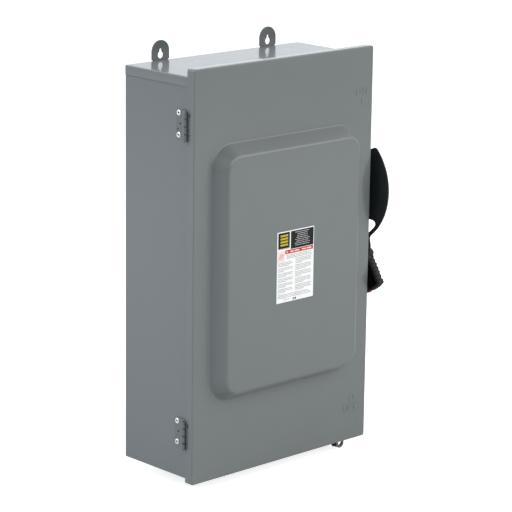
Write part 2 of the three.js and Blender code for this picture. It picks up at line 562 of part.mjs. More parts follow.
enclosure();
part('mounting_lug_left', 'enamel', hangingLug(), [-LUG.x, 0, 0]);
part('mounting_lug_right', 'enamel', hangingLug(), [LUG.x, 0, 0]);
for (const [place, z] of Object.entries(HINGE_HEIGHTS)) hinge(place, z);
door();
handle();
mechanism();
poles();
bars();

export default root;
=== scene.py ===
# Looks for the AC disconnect box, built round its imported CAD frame.
# Sizes are in metres, and a number times MM is in millimetres.
import json
import math
import random

import bmesh
import bpy
import numpy as np
from mathutils import Matrix, Vector


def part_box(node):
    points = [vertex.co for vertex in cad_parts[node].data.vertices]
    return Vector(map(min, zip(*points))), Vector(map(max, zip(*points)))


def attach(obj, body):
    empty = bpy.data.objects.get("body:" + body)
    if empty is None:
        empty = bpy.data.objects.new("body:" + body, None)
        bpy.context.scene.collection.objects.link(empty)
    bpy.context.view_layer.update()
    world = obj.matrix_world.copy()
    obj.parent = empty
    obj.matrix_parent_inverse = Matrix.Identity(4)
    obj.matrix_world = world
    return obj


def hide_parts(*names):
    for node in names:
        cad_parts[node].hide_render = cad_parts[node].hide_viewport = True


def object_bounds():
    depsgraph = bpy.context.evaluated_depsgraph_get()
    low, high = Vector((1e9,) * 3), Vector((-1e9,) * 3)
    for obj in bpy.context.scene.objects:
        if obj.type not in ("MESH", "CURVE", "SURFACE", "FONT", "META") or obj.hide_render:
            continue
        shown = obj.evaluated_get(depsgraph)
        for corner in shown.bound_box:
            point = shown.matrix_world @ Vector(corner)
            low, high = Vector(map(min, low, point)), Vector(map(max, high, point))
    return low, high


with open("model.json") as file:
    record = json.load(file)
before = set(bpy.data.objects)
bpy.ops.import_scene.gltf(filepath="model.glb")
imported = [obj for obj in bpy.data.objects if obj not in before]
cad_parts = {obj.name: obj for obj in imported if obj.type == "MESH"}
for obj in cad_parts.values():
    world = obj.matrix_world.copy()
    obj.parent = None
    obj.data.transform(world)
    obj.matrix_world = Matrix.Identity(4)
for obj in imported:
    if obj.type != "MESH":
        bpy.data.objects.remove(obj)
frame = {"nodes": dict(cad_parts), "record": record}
cad_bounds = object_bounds()

MM = 0.001
SHEET = 1.5 * MM
BEND = 2.4 * MM
CORNER_STEPS = 10
FRONT = (0, -1, 0)


# ---------------------------------------------------------------- sizes read from the frame
def span(node):
    low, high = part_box(node)
    return Vector(low), Vector(high)


DOOR_LOW, DOOR_HIGH = span("door_panel")
WRAP_LOW, WRAP_HIGH = span("enclosure_wrap")
CAP_LOW, CAP_HIGH = span("top_end_cap")
LABEL_LOW, LABEL_HIGH = span("rating_label")
PANEL_RISE = 27.6 * MM
DOOR_FACE = DOOR_LOW.y + PANEL_RISE
JOINTS = {joint["name"]: joint for joint in frame["record"]["behaviour"]["joints"]}
HANDLE_PIVOT = Vector(JOINTS["handle_turn"]["pos_m"])
HINGE_LINE = Vector(JOINTS["door_hinge"]["pos_m"])


# ---------------------------------------------------------------- node materials
COAT_ROUGHNESS = 0.12
SPECULAR_LEVEL = 0.3
ENAMEL_ROUGHNESS = 0.38


def srgb(value):
    return value / 12.92 if value <= 0.04045 else ((value + 0.055) / 1.055) ** 2.4


def hex_colour(code):
    return tuple(srgb(int(code[i:i + 2], 16) / 255) for i in (0, 2, 4)) + (1.0,)


def add_node(tree, kind, inputs=None, **settings):
    """A new node with its settings and the values of its inputs."""
    node = tree.nodes.new("ShaderNode" + kind)
    for name, value in settings.items():
        setattr(node, name, value)
    for name, value in (inputs or {}).items():
        node.inputs[name].default_value = value
    return node


class Material:
    """A principled material whose colour, roughness and bump come from noise in object space."""

    def __init__(self, name, colour, roughness, metallic=0.0, coat=0.0):
        self.material = bpy.data.materials.new(name)
        self.material.use_nodes = True
        self.tree = self.material.node_tree
        self.shader = self.tree.nodes["Principled BSDF"]
        self.colour = hex_colour(colour)
        self.roughness = roughness
        values = {"Base Color": self.colour, "Roughness": roughness, "Metallic": metallic,
                  "Coat Weight": coat, "Coat Roughness": COAT_ROUGHNESS, "Specular IOR Level": SPECULAR_LEVEL}
        for socket, value in values.items():
            self.shader.inputs[socket].default_value = value
        self.position = self.tree.nodes.new("ShaderNodeTexCoord").outputs["Object"]

    def link(self, source, target):
        self.tree.links.new(source, target)

    def noise(self, size, detail=3.0, stretch=(1, 1, 1)):
        mapping = add_node(self.tree, "Mapping", {"Scale": stretch})
        self.link(self.position, mapping.inputs["Vector"])
        noise = add_node(self.tree, "TexNoise", {"Scale": 1.0 / size, "Detail": detail})
        self.link(mapping.outputs["Vector"], noise.inputs["Vector"])
        return noise.outputs["Fac"]

    def spread(self, value, low, high):
        """Stretches the middle of a noise to run from low to high."""
        ends = {"From Min": 0.3, "From Max": 0.7, "To Min": low, "To Max": high}
        node = add_node(self.tree, "MapRange", ends)
        self.link(value, node.inputs["Value"])
        return node.outputs["Result"]

    def mottle(self, size, amount, stretch=(1, 1, 1)):
        """Lets the base colour drift a little lighter and darker."""
        mix = add_node(self.tree, "HueSaturation", {"Color": self.colour})
        noise = self.noise(size, stretch=stretch)
        self.link(self.spread(noise, 1 - amount, 1 + amount), mix.inputs["Value"])
        self.link(mix.outputs["Color"], self.shader.inputs["Base Color"])
        self.drift = mix
        return self

    def edge_sheen(self, colour, amount, reach=0.6 * MM):
        """Paints a second, lighter colour along the edges, broken up by noise: a painted highlight on rounded
        edges.
        """
        bevel = add_node(self.tree, "Bevel", {"Radius": reach})
        geometry = add_node(self.tree, "NewGeometry")
        dot = add_node(self.tree, "VectorMath", operation="DOT_PRODUCT")
        self.link(bevel.outputs["Normal"], dot.inputs[0])
        self.link(geometry.outputs["Normal"], dot.inputs[1])
        fade = add_node(self.tree, "MapRange", {"From Min": 0.98, "From Max": 0.80, "To Max": amount})
        self.link(dot.outputs["Value"], fade.inputs["Value"])
        speckle = add_node(self.tree, "Math", operation="MULTIPLY")
        self.link(fade.outputs["Result"], speckle.inputs[0])
        self.link(self.spread(self.noise(4 * MM), 0.2, 1.0), speckle.inputs[1])
        mix = add_node(self.tree, "Mix", data_type="RGBA")
        self.link(speckle.outputs["Value"], mix.inputs["Factor"])
        self.link(self.drift.outputs["Color"], mix.inputs["A"])
        mix.inputs["B"].default_value = hex_colour(colour)
        self.link(mix.outputs["Result"], self.shader.inputs["Base Color"])
        return self

    def polish(self, size, amount, stretch=(1, 1, 1)):
        """Lets the roughness drift."""
        noise = self.noise(size, 4.0, stretch)
        drift = self.spread(noise, self.roughness - amount, self.roughness + amount)
        self.link(drift, self.shader.inputs["Roughness"])
        return self

    def bump(self, size, height, detail=2.0, stretch=(1, 1, 1)):
        """Adds a fine relief on top of any earlier one."""
        node = add_node(self.tree, "Bump", {"Distance": height, "Strength": 1.0})
        self.link(self.noise(size, detail, stretch), node.inputs["Height"])
        normal = self.shader.inputs["Normal"]
        if normal.is_linked:
            self.link(normal.links[0].from_socket, node.inputs["Normal"])
        self.link(node.outputs["Normal"], normal)
        return self


def enamel(name, colour):
    """Electrostatic grey enamel: faint orange peel and a fine drift in gloss."""
    made = Material(name, colour, ENAMEL_ROUGHNESS, coat=1.0).mottle(90 * MM, 0.012).polish(25 * MM, 0.03)
    return made.bump(7 * MM, 0.008 * MM).bump(60 * MM, 0.03 * MM).material


def metal(name, colour, roughness, grain=(1, 1, 1)):
    made = Material(name, colour, roughness, 1.0).mottle(12 * MM, 0.06).polish(5 * MM, 0.07, grain)
    return made.bump(1.2 * MM, 0.01 * MM, stretch=grain).material


def plastic(name, colour, roughness, size=0.9 * MM, height=0.03 * MM):
    made = Material(name, colour, roughness).mottle(20 * MM, 0.05).polish(6 * MM, 0.05)
    return made.bump(size, height).material


def clear_sheet():
    made = Material("clear_polycarbonate", "F2F8FA", 0.06).polish(15 * MM, 0.02).bump(60 * MM, 0.02 * MM)
    made.shader.inputs["Transmission Weight"].default_value = 1.0
    made.shader.inputs["IOR"].default_value = 1.45
    made.shader.inputs["Alpha"].default_value = 0.35
    return made.material


ENAMEL = enamel("grey_enamel", "656A6A")
# A darker copy of the grey enamel for the hinge leaves and knuckles: painted shade.
HINGE_SHADED_ENAMEL = enamel("hinge_enamel_painted_shade", "5C6061")
# A darker copy of the grey enamel for the hanging lugs: painted shade.
LUG_SHADED_ENAMEL = enamel("lug_enamel_painted_shade", "4E5354")
ZINC = metal("zinc_plate", "C9CCCE", 0.30)
RIVET_ZINC = metal("rivet_zinc", "E6E8E8", 0.42)
# The black satin's lighter edges are a painted highlight.
BLACK = Material("black_satin", "25292B", 0.36, coat=0.1).mottle(30 * MM, 0.1) \
    .edge_sheen("3B4044", 0.35).polish(18 * MM, 0.05).bump(1.4 * MM, 0.012 * MM).material
# Near-black for the insides of small holes and the grip's hollow: painted shade, not a colour of any part.
PAINTED_SHADE = Material("painted_shade_black", "050505", 0.85).mottle(10 * MM, 0.2) \
    .polish(5 * MM, 0.05).bump(2 * MM, 0.02 * MM).material
# The grip rubber's lighter edge band is a painted highlight.
RUBBER = Material("grip_rubber", "262425", 0.42).mottle(10 * MM, 0.12) \
    .edge_sheen("6A6869", 0.5, 1.5 * MM).polish(5 * MM, 0.07).bump(0.6 * MM, 0.05 * MM).material
RED = plastic("red_plastic", "9E1416", 0.34)
SPRING = metal("spring_steel", "5C5E61", 0.34)
MOULDING = plastic("black_moulding", "1F1E1D", 0.5)
COPPER = metal("copper", "C07A52", 0.30, (1, 1, 0.1))
TIN = metal("tinned_metal", "C3C6C8", 0.34)
FIBRE = plastic("grey_fibre", "8E8A7C", 0.75, 1.5 * MM, 0.06 * MM)
FUSE_TUBE = plastic("fuse_tube", "B79A63", 0.55, 1.0 * MM, 0.05 * MM)
CLEAR = clear_sheet()
PAPER = plastic("label_film", "E6E7E7", 0.38, 3 * MM, 0.006 * MM)
INK, GREY_INK, PALE_INK, RED_INK, PINK_INK, YELLOW_INK = (
    plastic("label_" + name, colour, roughness, 3 * MM, 0.004 * MM) for name, colour, roughness in (
        ("black", "0E0F10", 0.35), ("grey", "8A8B8D", 0.4), ("pale", "A9AAAB", 0.4),
        ("red", "B93A24", 0.38), ("pink", "E2CFCB", 0.4), ("yellow", "B5A326", 0.38)))


# ---------------------------------------------------------------- mesh helpers
def drawn(*pairs):
    """Points given in millimetres, as metres."""
    return [(u * MM, v * MM) for u, v in pairs]


def middle(low, high):
    return tuple((a + b) / 2 for a, b in zip(low, high))


def link_object(name, data):
    obj = bpy.data.objects.new(name, data)
    bpy.context.scene.collection.objects.link(obj)
    return obj


def finish_piece(obj, body, material=None, nodes=()):
    """Gives a piece its material, makes it ride, and hides the CAD nodes it stands for."""
    if material:
        obj.data.materials.clear()
        obj.data.materials.append(material)
    if nodes:
        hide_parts(*nodes)
    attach(obj, body)
    return obj


def paint(obj, material):
    obj.data.materials.append(material)
    return obj


def round_edges(obj, width, segments=3, angle=32):
    bevel = obj.modifiers.new("rounded_edges", "BEVEL")
    bevel.width = width
    bevel.segments = segments
    bevel.limit_method = "ANGLE"
    bevel.angle_limit = math.radians(angle)
    bevel.harden_normals = False
    weigh(obj)


def smooth(obj):
    for polygon in obj.data.polygons:
        polygon.use_smooth = True


def weigh(obj):
    """Smooth shading that leaves large flat faces flat."""
    smooth(obj)
    obj.modifiers.new("weighted_normals", "WEIGHTED_NORMAL").weight = 80


def thicken(obj, thickness, offset, even=True):
    solid = obj.modifiers.new("sheet", "SOLIDIFY")
    solid.thickness = thickness
    solid.offset = offset
    solid.use_even_offset = even


def add_mesh(name, verts, faces):
    mesh = bpy.data.meshes.new(name)
    mesh.from_pydata([tuple(v) for v in verts], [], faces)
    mesh.update()
    return link_object(name, mesh)


def quads(rows, count, closed=True):
    """Faces between successive rows of count points each."""
    pairs = [(i, (i + 1) % count) for i in range(count if closed else count - 1)]
    return [(k * count + i, k * count + j, (k + 1) * count + j, (k + 1) * count + i)
            for k in range(rows - 1) for i, j in pairs]


def mend(mesh, weld=0.0, outward=None, index=0, place=None):
    """Welds close points, turns the faces so that they agree and the chosen one looks outward, moves all."""
    work = bmesh.new()
    work.from_mesh(mesh)
    if weld:
        bmesh.ops.remove_doubles(work, verts=work.verts, dist=weld)
    bmesh.ops.recalc_face_normals(work, faces=work.faces)
    if outward:
        work.faces.ensure_lookup_table()
        if work.faces[index].normal.dot(Vector(outward)) < 0:
            bmesh.ops.reverse_faces(work, faces=work.faces)
    if place:
        work.transform(place)
    work.to_mesh(mesh)
    work.free()


def arc(cx, cy, radius, start, end, steps=12):
    """Points on an arc, angles in degrees."""
    angles = [math.radians(start + (end - start) * i / steps) for i in range(steps + 1)]
    return [(cx + radius * math.cos(a), cy + radius * math.sin(a)) for a in angles]


def circle(cx, cy, radius, count=24):
    return arc(cx, cy, radius, 0, 360 - 360 / count, count - 1)


def rounded_rect(w, h, r, cx=0.0, cy=0.0, steps=CORNER_STEPS):
    x, y = w / 2 - r, h / 2 - r
    corners = ((x, -y, -90), (x, y, 0), (-x, y, 90), (-x, -y, 180))
    return [p for (u, v, a) in corners for p in arc(cx + u, cy + v, r, a, a + 90, steps)]


def skin(name, loops, outward, cap_first=True, thickness=SHEET):
    """A sheet through successive loops of equal length, given thickness away from the outward side."""
    count = len(loops[0])
    verts = [p for loop in loops for p in loop]
    faces = quads(len(loops), count)
    if cap_first:
        faces.append(tuple(reversed(range(count))))
    obj = add_mesh(name, verts, faces)
    mend(obj.data, outward=outward, index=len(faces) - 1)
    if thickness:
        thicken(obj, thickness, -1)
    return obj


def plate(name, outline, holes, thickness, bevel, to_world, steps=3):
    """A flat plate from a 2D outline with holes and rounded edges. to_world is a 4x4 that places it."""
    curve = bpy.data.curves.new(name, "CURVE")
    curve.dimensions = "2D"
    curve.fill_mode = "BOTH"
    for loop in [outline, *holes]:
        spline = curve.splines.new("POLY")
        spline.points.add(len(loop) - 1)
        spline.use_cyclic_u = True
        for point, (u, v) in zip(spline.points, loop):
            point.co = (u, v, 0, 1)
    curve.extrude = thickness / 2 - bevel
    curve.bevel_depth = bevel
    curve.bevel_resolution = steps
    curve.offset = -bevel
    shape = link_object(name + "_curve", curve)
    mesh = bpy.data.meshes.new_from_object(shape.evaluated_get(bpy.context.evaluated_depsgraph_get()))
    bpy.data.objects.remove(shape)
    bpy.data.curves.remove(curve)
    mend(mesh, 0.01 * MM, place=to_world)
    obj = link_object(name, mesh)
    weigh(obj)
    return obj


def lathe(name, profile, origin, axis, sides=48):
    """Turns (radius, distance) points round an axis through origin."""
    turn = Vector((0, 0, 1)).rotation_difference(Vector(axis)).to_matrix()
    verts, rings = [], []
    for radius, along in profile:
        count = 1 if radius < 1e-7 else sides
        rings.append(range(len(verts), len(verts) + count))
        for i in range(count):
            a = 2 * math.pi * i / sides
            verts.append(turn @ Vector((radius * math.cos(a), radius * math.sin(a), along)) + Vector(origin))
    faces = []
    for a, b in zip(rings, rings[1:]):
        for i in range(sides):
            j = (i + 1) % sides
            quad = [a[i % len(a)], a[j % len(a)], b[j % len(b)], b[i % len(b)]]
            face = list(dict.fromkeys(quad))
            if len(face) > 2:
                faces.append(face)
    obj = add_mesh(name, verts, faces)
    mend(obj.data)
    smooth(obj)
    return obj


def join(objects, name):
    """One mesh from several, with their modifiers applied."""
    bpy.context.view_layer.update()
    work = bmesh.new()
    graph = bpy.context.evaluated_depsgraph_get()
    materials = []
    for obj in objects:
        mesh = bpy.data.meshes.new_from_object(obj.evaluated_get(graph))
        mesh.transform(obj.matrix_world)
        offset = {}
        for index, material in enumerate(mesh.materials):
            if material not in materials:
                materials.append(material)
            offset[index] = materials.index(material)
        for polygon in mesh.polygons:
            polygon.material_index = offset.get(polygon.material_index, 0)
        work.from_mesh(mesh)
        bpy.data.meshes.remove(mesh)
        bpy.data.objects.remove(obj)
    mesh = bpy.data.meshes.new(name)
    work.to_mesh(mesh)
    work.free()
    for material in materials:
        mesh.materials.append(material)
    return link_object(name, mesh)


def facing(axis, offset):
    """Places a flat drawing (u, v) at axis = offset, seen the right way up."""
    rows = {
        "y": ((1, 0, 0, 0), (0, 0, -1, offset), (0, 1, 0, 0), (0, 0, 0, 1)),
        "x": ((0, 0, 1, offset), (1, 0, 0, 0), (0, 1, 0, 0), (0, 0, 0, 1)),
        "z": ((1, 0, 0, 0), (0, 1, 0, 0), (0, 0, 1, offset), (0, 0, 0, 1)),
    }
    return Matrix(rows[axis])


# ---------------------------------------------------------------- folded steel
def pan_loops(w, h, centre, flanges):
    """Loops of a pan from its face, round the bend and down its flanges. flanges: depth by side, in the order
    right, top, left, bottom. A loop point is (u, v, depth)."""
    corner, inner = 2.0 * MM, rounded_rect(w - 12 * MM, h - 12 * MM, 1 * MM)
    loops = [[(centre[0] + u, centre[1] + v, 0.0) for u, v in inner]]
    for step in range(7):
        a = math.pi / 2 * step / 6
        inset = BEND * (1 - math.sin(a))
        depth = BEND * (1 - math.cos(a))
        outline = rounded_rect(w - 2 * inset, h - 2 * inset, corner + BEND - inset)
        loops.append([(centre[0] + u, centre[1] + v, depth) for u, v in outline])
    last = []
    for u, v in rounded_rect(w, h, corner + BEND):
        across = abs(u) / w > abs(v) / h
        side = (0 if u > 0 else 2) if across else (1 if v > 0 else 3)
        last.append((centre[0] + u, centre[1] + v, flanges[side]))
    loops.append(last)
    return loops


def fillet_profile(run, rise, foot, brow, steps=6):
    """(inset, height) across a pressed step: a hollow curve at its foot, a slope, a round at its brow."""
    slope = math.atan2(rise, run)
    cut_foot, cut_brow = foot * math.tan(slope / 2), brow * math.tan(slope / 2)
    points = []
    for i in range(steps + 1):
        a = slope * i / steps
        points.append((-cut_foot + foot * math.sin(a), foot * (1 - math.cos(a))))
    for i in range(steps + 1):
        a = slope * (1 - i / steps)
        points.append((run + cut_brow - brow * math.sin(a), rise - brow * (1 - math.cos(a))))
    return points


def wire(name, path, width, closed=False):
    """A round line through (x, y, z) points."""
    curve = bpy.data.curves.new(name, "CURVE")
    curve.dimensions = "3D"
    spline = curve.splines.new("POLY")
    spline.points.add(len(path) - 1)
    for point, place in zip(spline.points, path):
        point.co = (*place, 1)
    spline.use_cyclic_u = closed
    curve.bevel_depth = width / 2
    curve.bevel_resolution = 3
    curve.use_fill_caps = True
    return link_object(name, curve)


def switch_marks():
    """The pressed ON, I, O and OFF position marks near the door's handle edge."""
    high, wide, line = 12.6 * MM, 10.4 * MM, 2.2 * MM

    def letter(kind, x, z):
        x0, x1, z0, z1 = x - wide / 2, x + wide / 2, z - high / 2, z + high / 2
        if kind == "O":
            return [(rounded_rect(wide, high, wide / 2 - 0.2 * MM, x, z, 6), True)]
        if kind == "N":
            return [([(x0, z0), (x0, z1), (x1, z0), (x1, z1)], False)]
        if kind == "I":
            return [([(x, z0), (x, z1)], False)]
        return [([(x0, z0), (x0, z1), (x1, z1)], False), ([(x0, z), (x1 - 2 * MM, z)], False)]

    marks = (("O", 37.5, 290), ("N", 21, 290), ("I", 28.5, 271), ("O", 37.5, -289),
             ("O", 53, -308), ("F", 39, -308), ("F", 25, -308))
    made = []
    for kind, from_edge, z in marks:
        for path, closed in letter(kind, DOOR_HIGH.x - from_edge * MM, z * MM):
            obj = wire("mark", [(u, v, 0) for u, v in path], line, closed)
            obj.matrix_world = facing("y", DOOR_FACE - 0.1 * MM) @ Matrix.Diagonal((1, 1, 0.5, 1))
            made.append(obj)
    return join(made, "switch_marks")


def door_panel():
    """The door: a raised field with rounded corners, a flat rim and folded flanges."""
    mid_x, _, mid_z = middle(DOOR_LOW, DOOR_HIGH)
    size = DOOR_HIGH - DOOR_LOW
    panel_w, panel_h, panel_z, corner, inset = 358 * MM, 463 * MM, 2.5 * MM, 46 * MM, 18 * MM

    def ring(shrink, depth):
        outline = rounded_rect(panel_w - 2 * shrink, panel_h - 2 * shrink, max(corner - shrink, 4 * MM))
        return [(u, panel_z + v, depth) for u, v in outline]

    profile = fillet_profile(inset, PANEL_RISE, 3 * MM, 7 * MM)
    loops = [ring(profile[-1][0] + 2 * MM, -PANEL_RISE)]
    loops += [ring(s, -rise) for s, rise in reversed(profile)]
    loops.append(ring(profile[0][0] - 2 * MM, 0.0))
    flange = DOOR_HIGH.y - DOOR_FACE
    loops += pan_loops(size.x, size.z, (mid_x, mid_z), [flange] * 4)[1:]
    world = [[(u, DOOR_FACE + d, v) for u, v, d in loop] for loop in loops]
    door = skin("door_shell", world, FRONT)
    weigh(door)
    finish_piece(door, "door", ENAMEL, ["door_panel"])
    marks = switch_marks()
    smooth(marks)
    finish_piece(marks, "door", ENAMEL)


def enclosure():
    """The wrap: back and sides folded from one sheet, with inward lips at the front."""
    x, front, lip, bend = WRAP_HIGH.x, WRAP_LOW.y, 12 * MM, BEND
    notch = CAP_LOW.z - 0.3 * MM
    fold = np.linspace(0, math.pi / 2, 7)
    half = [(x - lip, front)]
    half += [(x - bend + bend * math.sin(a), front + bend - bend * math.cos(a)) for a in fold]
    half += [(x, front * t) for t in (0.75, 0.5, 0.25)]
    half += [(x - bend + bend * math.cos(a), -bend + bend * math.sin(a)) for a in fold]
    profile = half + [(-u, v) for u, v in reversed(half)]
    levels = (WRAP_LOW.z, notch, WRAP_HIGH.z)
    count = len(profile)
    verts = [(u, v, z) for z in levels for u, v in profile]
    # The back stops at the notch: above it the end cap closes the box.
    faces = [face for face in quads(len(levels), count, False)
             if face[0] < count or max(verts[face[0]][1], verts[face[1]][1]) <= -SHEET]
    wrap = add_mesh("enclosure_shell", verts, faces)
    side = next(i for i, f in enumerate(wrap.data.polygons) if f.normal.x ** 2 > 0.99 and f.center.x > 0)
    mend(wrap.data, outward=(1, 0, 0), index=side)
    thicken(wrap, SHEET, -1)
    cut_hole(wrap, HANDLE_PIVOT.y, HANDLE_PIVOT.z, 14 * MM, x)
    weigh(wrap)
    finish_piece(wrap, "root", ENAMEL, ["enclosure_wrap"])

    # The top end cap folds down over the sides and the back, and has a short drip lip inside the door.
    size = CAP_HIGH - CAP_LOW
    centre = (0.0, CAP_LOW.y / 2)
    loops = pan_loops(size.x, size.y, centre, [size.z, size.z, size.z, 7 * MM])
    cap = skin("cap_shell", [[(u, v, CAP_HIGH.z - d) for u, v, d in loop] for loop in loops], (0, 0, 1))
    weigh(cap)
    finish_piece(cap, "root", ENAMEL, ["top_end_cap"])


def cut_hole(obj, y, z, radius, x):
    """Cuts a round hole through the side wall at x."""
    profile = [(0, 0), (radius, 0), (radius, 10 * MM), (0, 10 * MM)]
    cutter = lathe("cutter", profile, (x - 5 * MM, y, z), (1, 0, 0))
    cut = obj.modifiers.new("shaft_hole", "BOOLEAN")
    cut.object = cutter
    graph = bpy.context.evaluated_depsgraph_get()
    mesh = bpy.data.meshes.new_from_object(obj.evaluated_get(graph))
    obj.modifiers.clear()
    obj.data = mesh
    bpy.data.objects.remove(cutter)


def hanging_lugs():
    """Two ears that stand above the end cap, each with a keyhole and two rivet holes."""
    low, high = span("mounting_lug_right")
    half = (high.x - low.x) / 2
    neck, dip, corner = 17.3 * MM, 1 * MM, 1.2 * MM
    cap_top = CAP_HIGH.z
    waist, shoulder = cap_top + 0.6 * MM, cap_top + 0.6 * MM + 2.2 * MM
    outline = [(-neck, low.z), (neck, low.z), (neck, waist - dip)]
    outline += arc(neck + dip, waist, dip, 180, 90, 5) + arc(half - corner, shoulder, corner, -90, 0, 5)
    outline += arc(0, high.z - half, half, 0, 180, 40)
    outline += arc(corner - half, shoulder, corner, 180, 270, 5) + arc(-neck - dip, waist, dip, 90, 0, 5)
    outline += [(-neck, waist - dip)]
    wide, narrow, z0, z1 = 6.5 * MM, 2.9 * MM, cap_top + 10 * MM, cap_top + 18.5 * MM
    open_angle = math.degrees(math.asin(narrow / wide))
    keyhole = arc(0, z0, wide, 90 + open_angle, 450 - open_angle, 30) + arc(0, z1, narrow, 0, 180, 12)
    rivet_holes = [circle(x, low.z + 12 * MM, 3 * MM) for x in (-9 * MM, 9 * MM)]
    for side in ("left", "right"):
        low, high = span(f"mounting_lug_{side}")
        x, y, _ = middle(low, high)
        place = Matrix.Translation((x, 0, 0)) @ facing("y", y)
        lug = plate(f"hanging_lug_{side}", outline, [keyhole, *rivet_holes], high.y - low.y, 0.5 * MM, place)
        finish_piece(lug, "root", LUG_SHADED_ENAMEL, [f"mounting_lug_{side}"])


# ---------------------------------------------------------------- hinges
def knuckle(z0, z1):
    """A rolled hinge knuckle, open along its pin."""
    inner, outer, round_over = 1.75 * MM, 3.9 * MM, 0.7 * MM
    profile = [(inner, z0 + 0.2 * MM), (inner + 0.3 * MM, z0), (outer - round_over, z0)]
    profile += [(outer - round_over * (1 - math.sin(a)), z0 + round_over * (1 - math.cos(a)))
                for a in (0.5, 1.0, 1.57)]
    profile += [(outer - round_over * (1 - math.cos(a)), z1 - round_over * (1 - math.sin(a)))
                for a in (0.0, 0.5, 1.0)]
    profile += [(outer - round_over, z1), (inner + 0.3 * MM, z1), (inner, z1 - 0.2 * MM),
                (inner, z0 + 0.2 * MM)]
    return lathe("knuckle", profile, (HINGE_LINE.x, HINGE_LINE.y, 0), (0, 0, 1), 32)


def strip(name, path, z0, z1, thickness):
    """An upright bent strip that follows an (x, y) path."""
    verts = [(u, v, z) for z in (z0, z1) for u, v in path]
    obj = add_mesh(name, verts, quads(2, len(path), False))
    thicken(obj, thickness, 0, False)
    return obj


def painted_hole_shade(name, body, x, spots):
    """Small black discs on a surface that faces -X, at (y, z, radius): painted shade for the dark insides of
    small holes.
    """
    marks = [lathe("spot", [(0, 0.02 * MM), (r * 0.75, 0.06 * MM), (r * 0.9, 0.16 * MM), (r, 0.1 * MM),
                            (r, -0.2 * MM), (0, -0.2 * MM)], (x, y, z), (-1, 0, 0), 20) for y, z, r in spots]
    finish_piece(join(marks, name), body, PAINTED_SHADE)


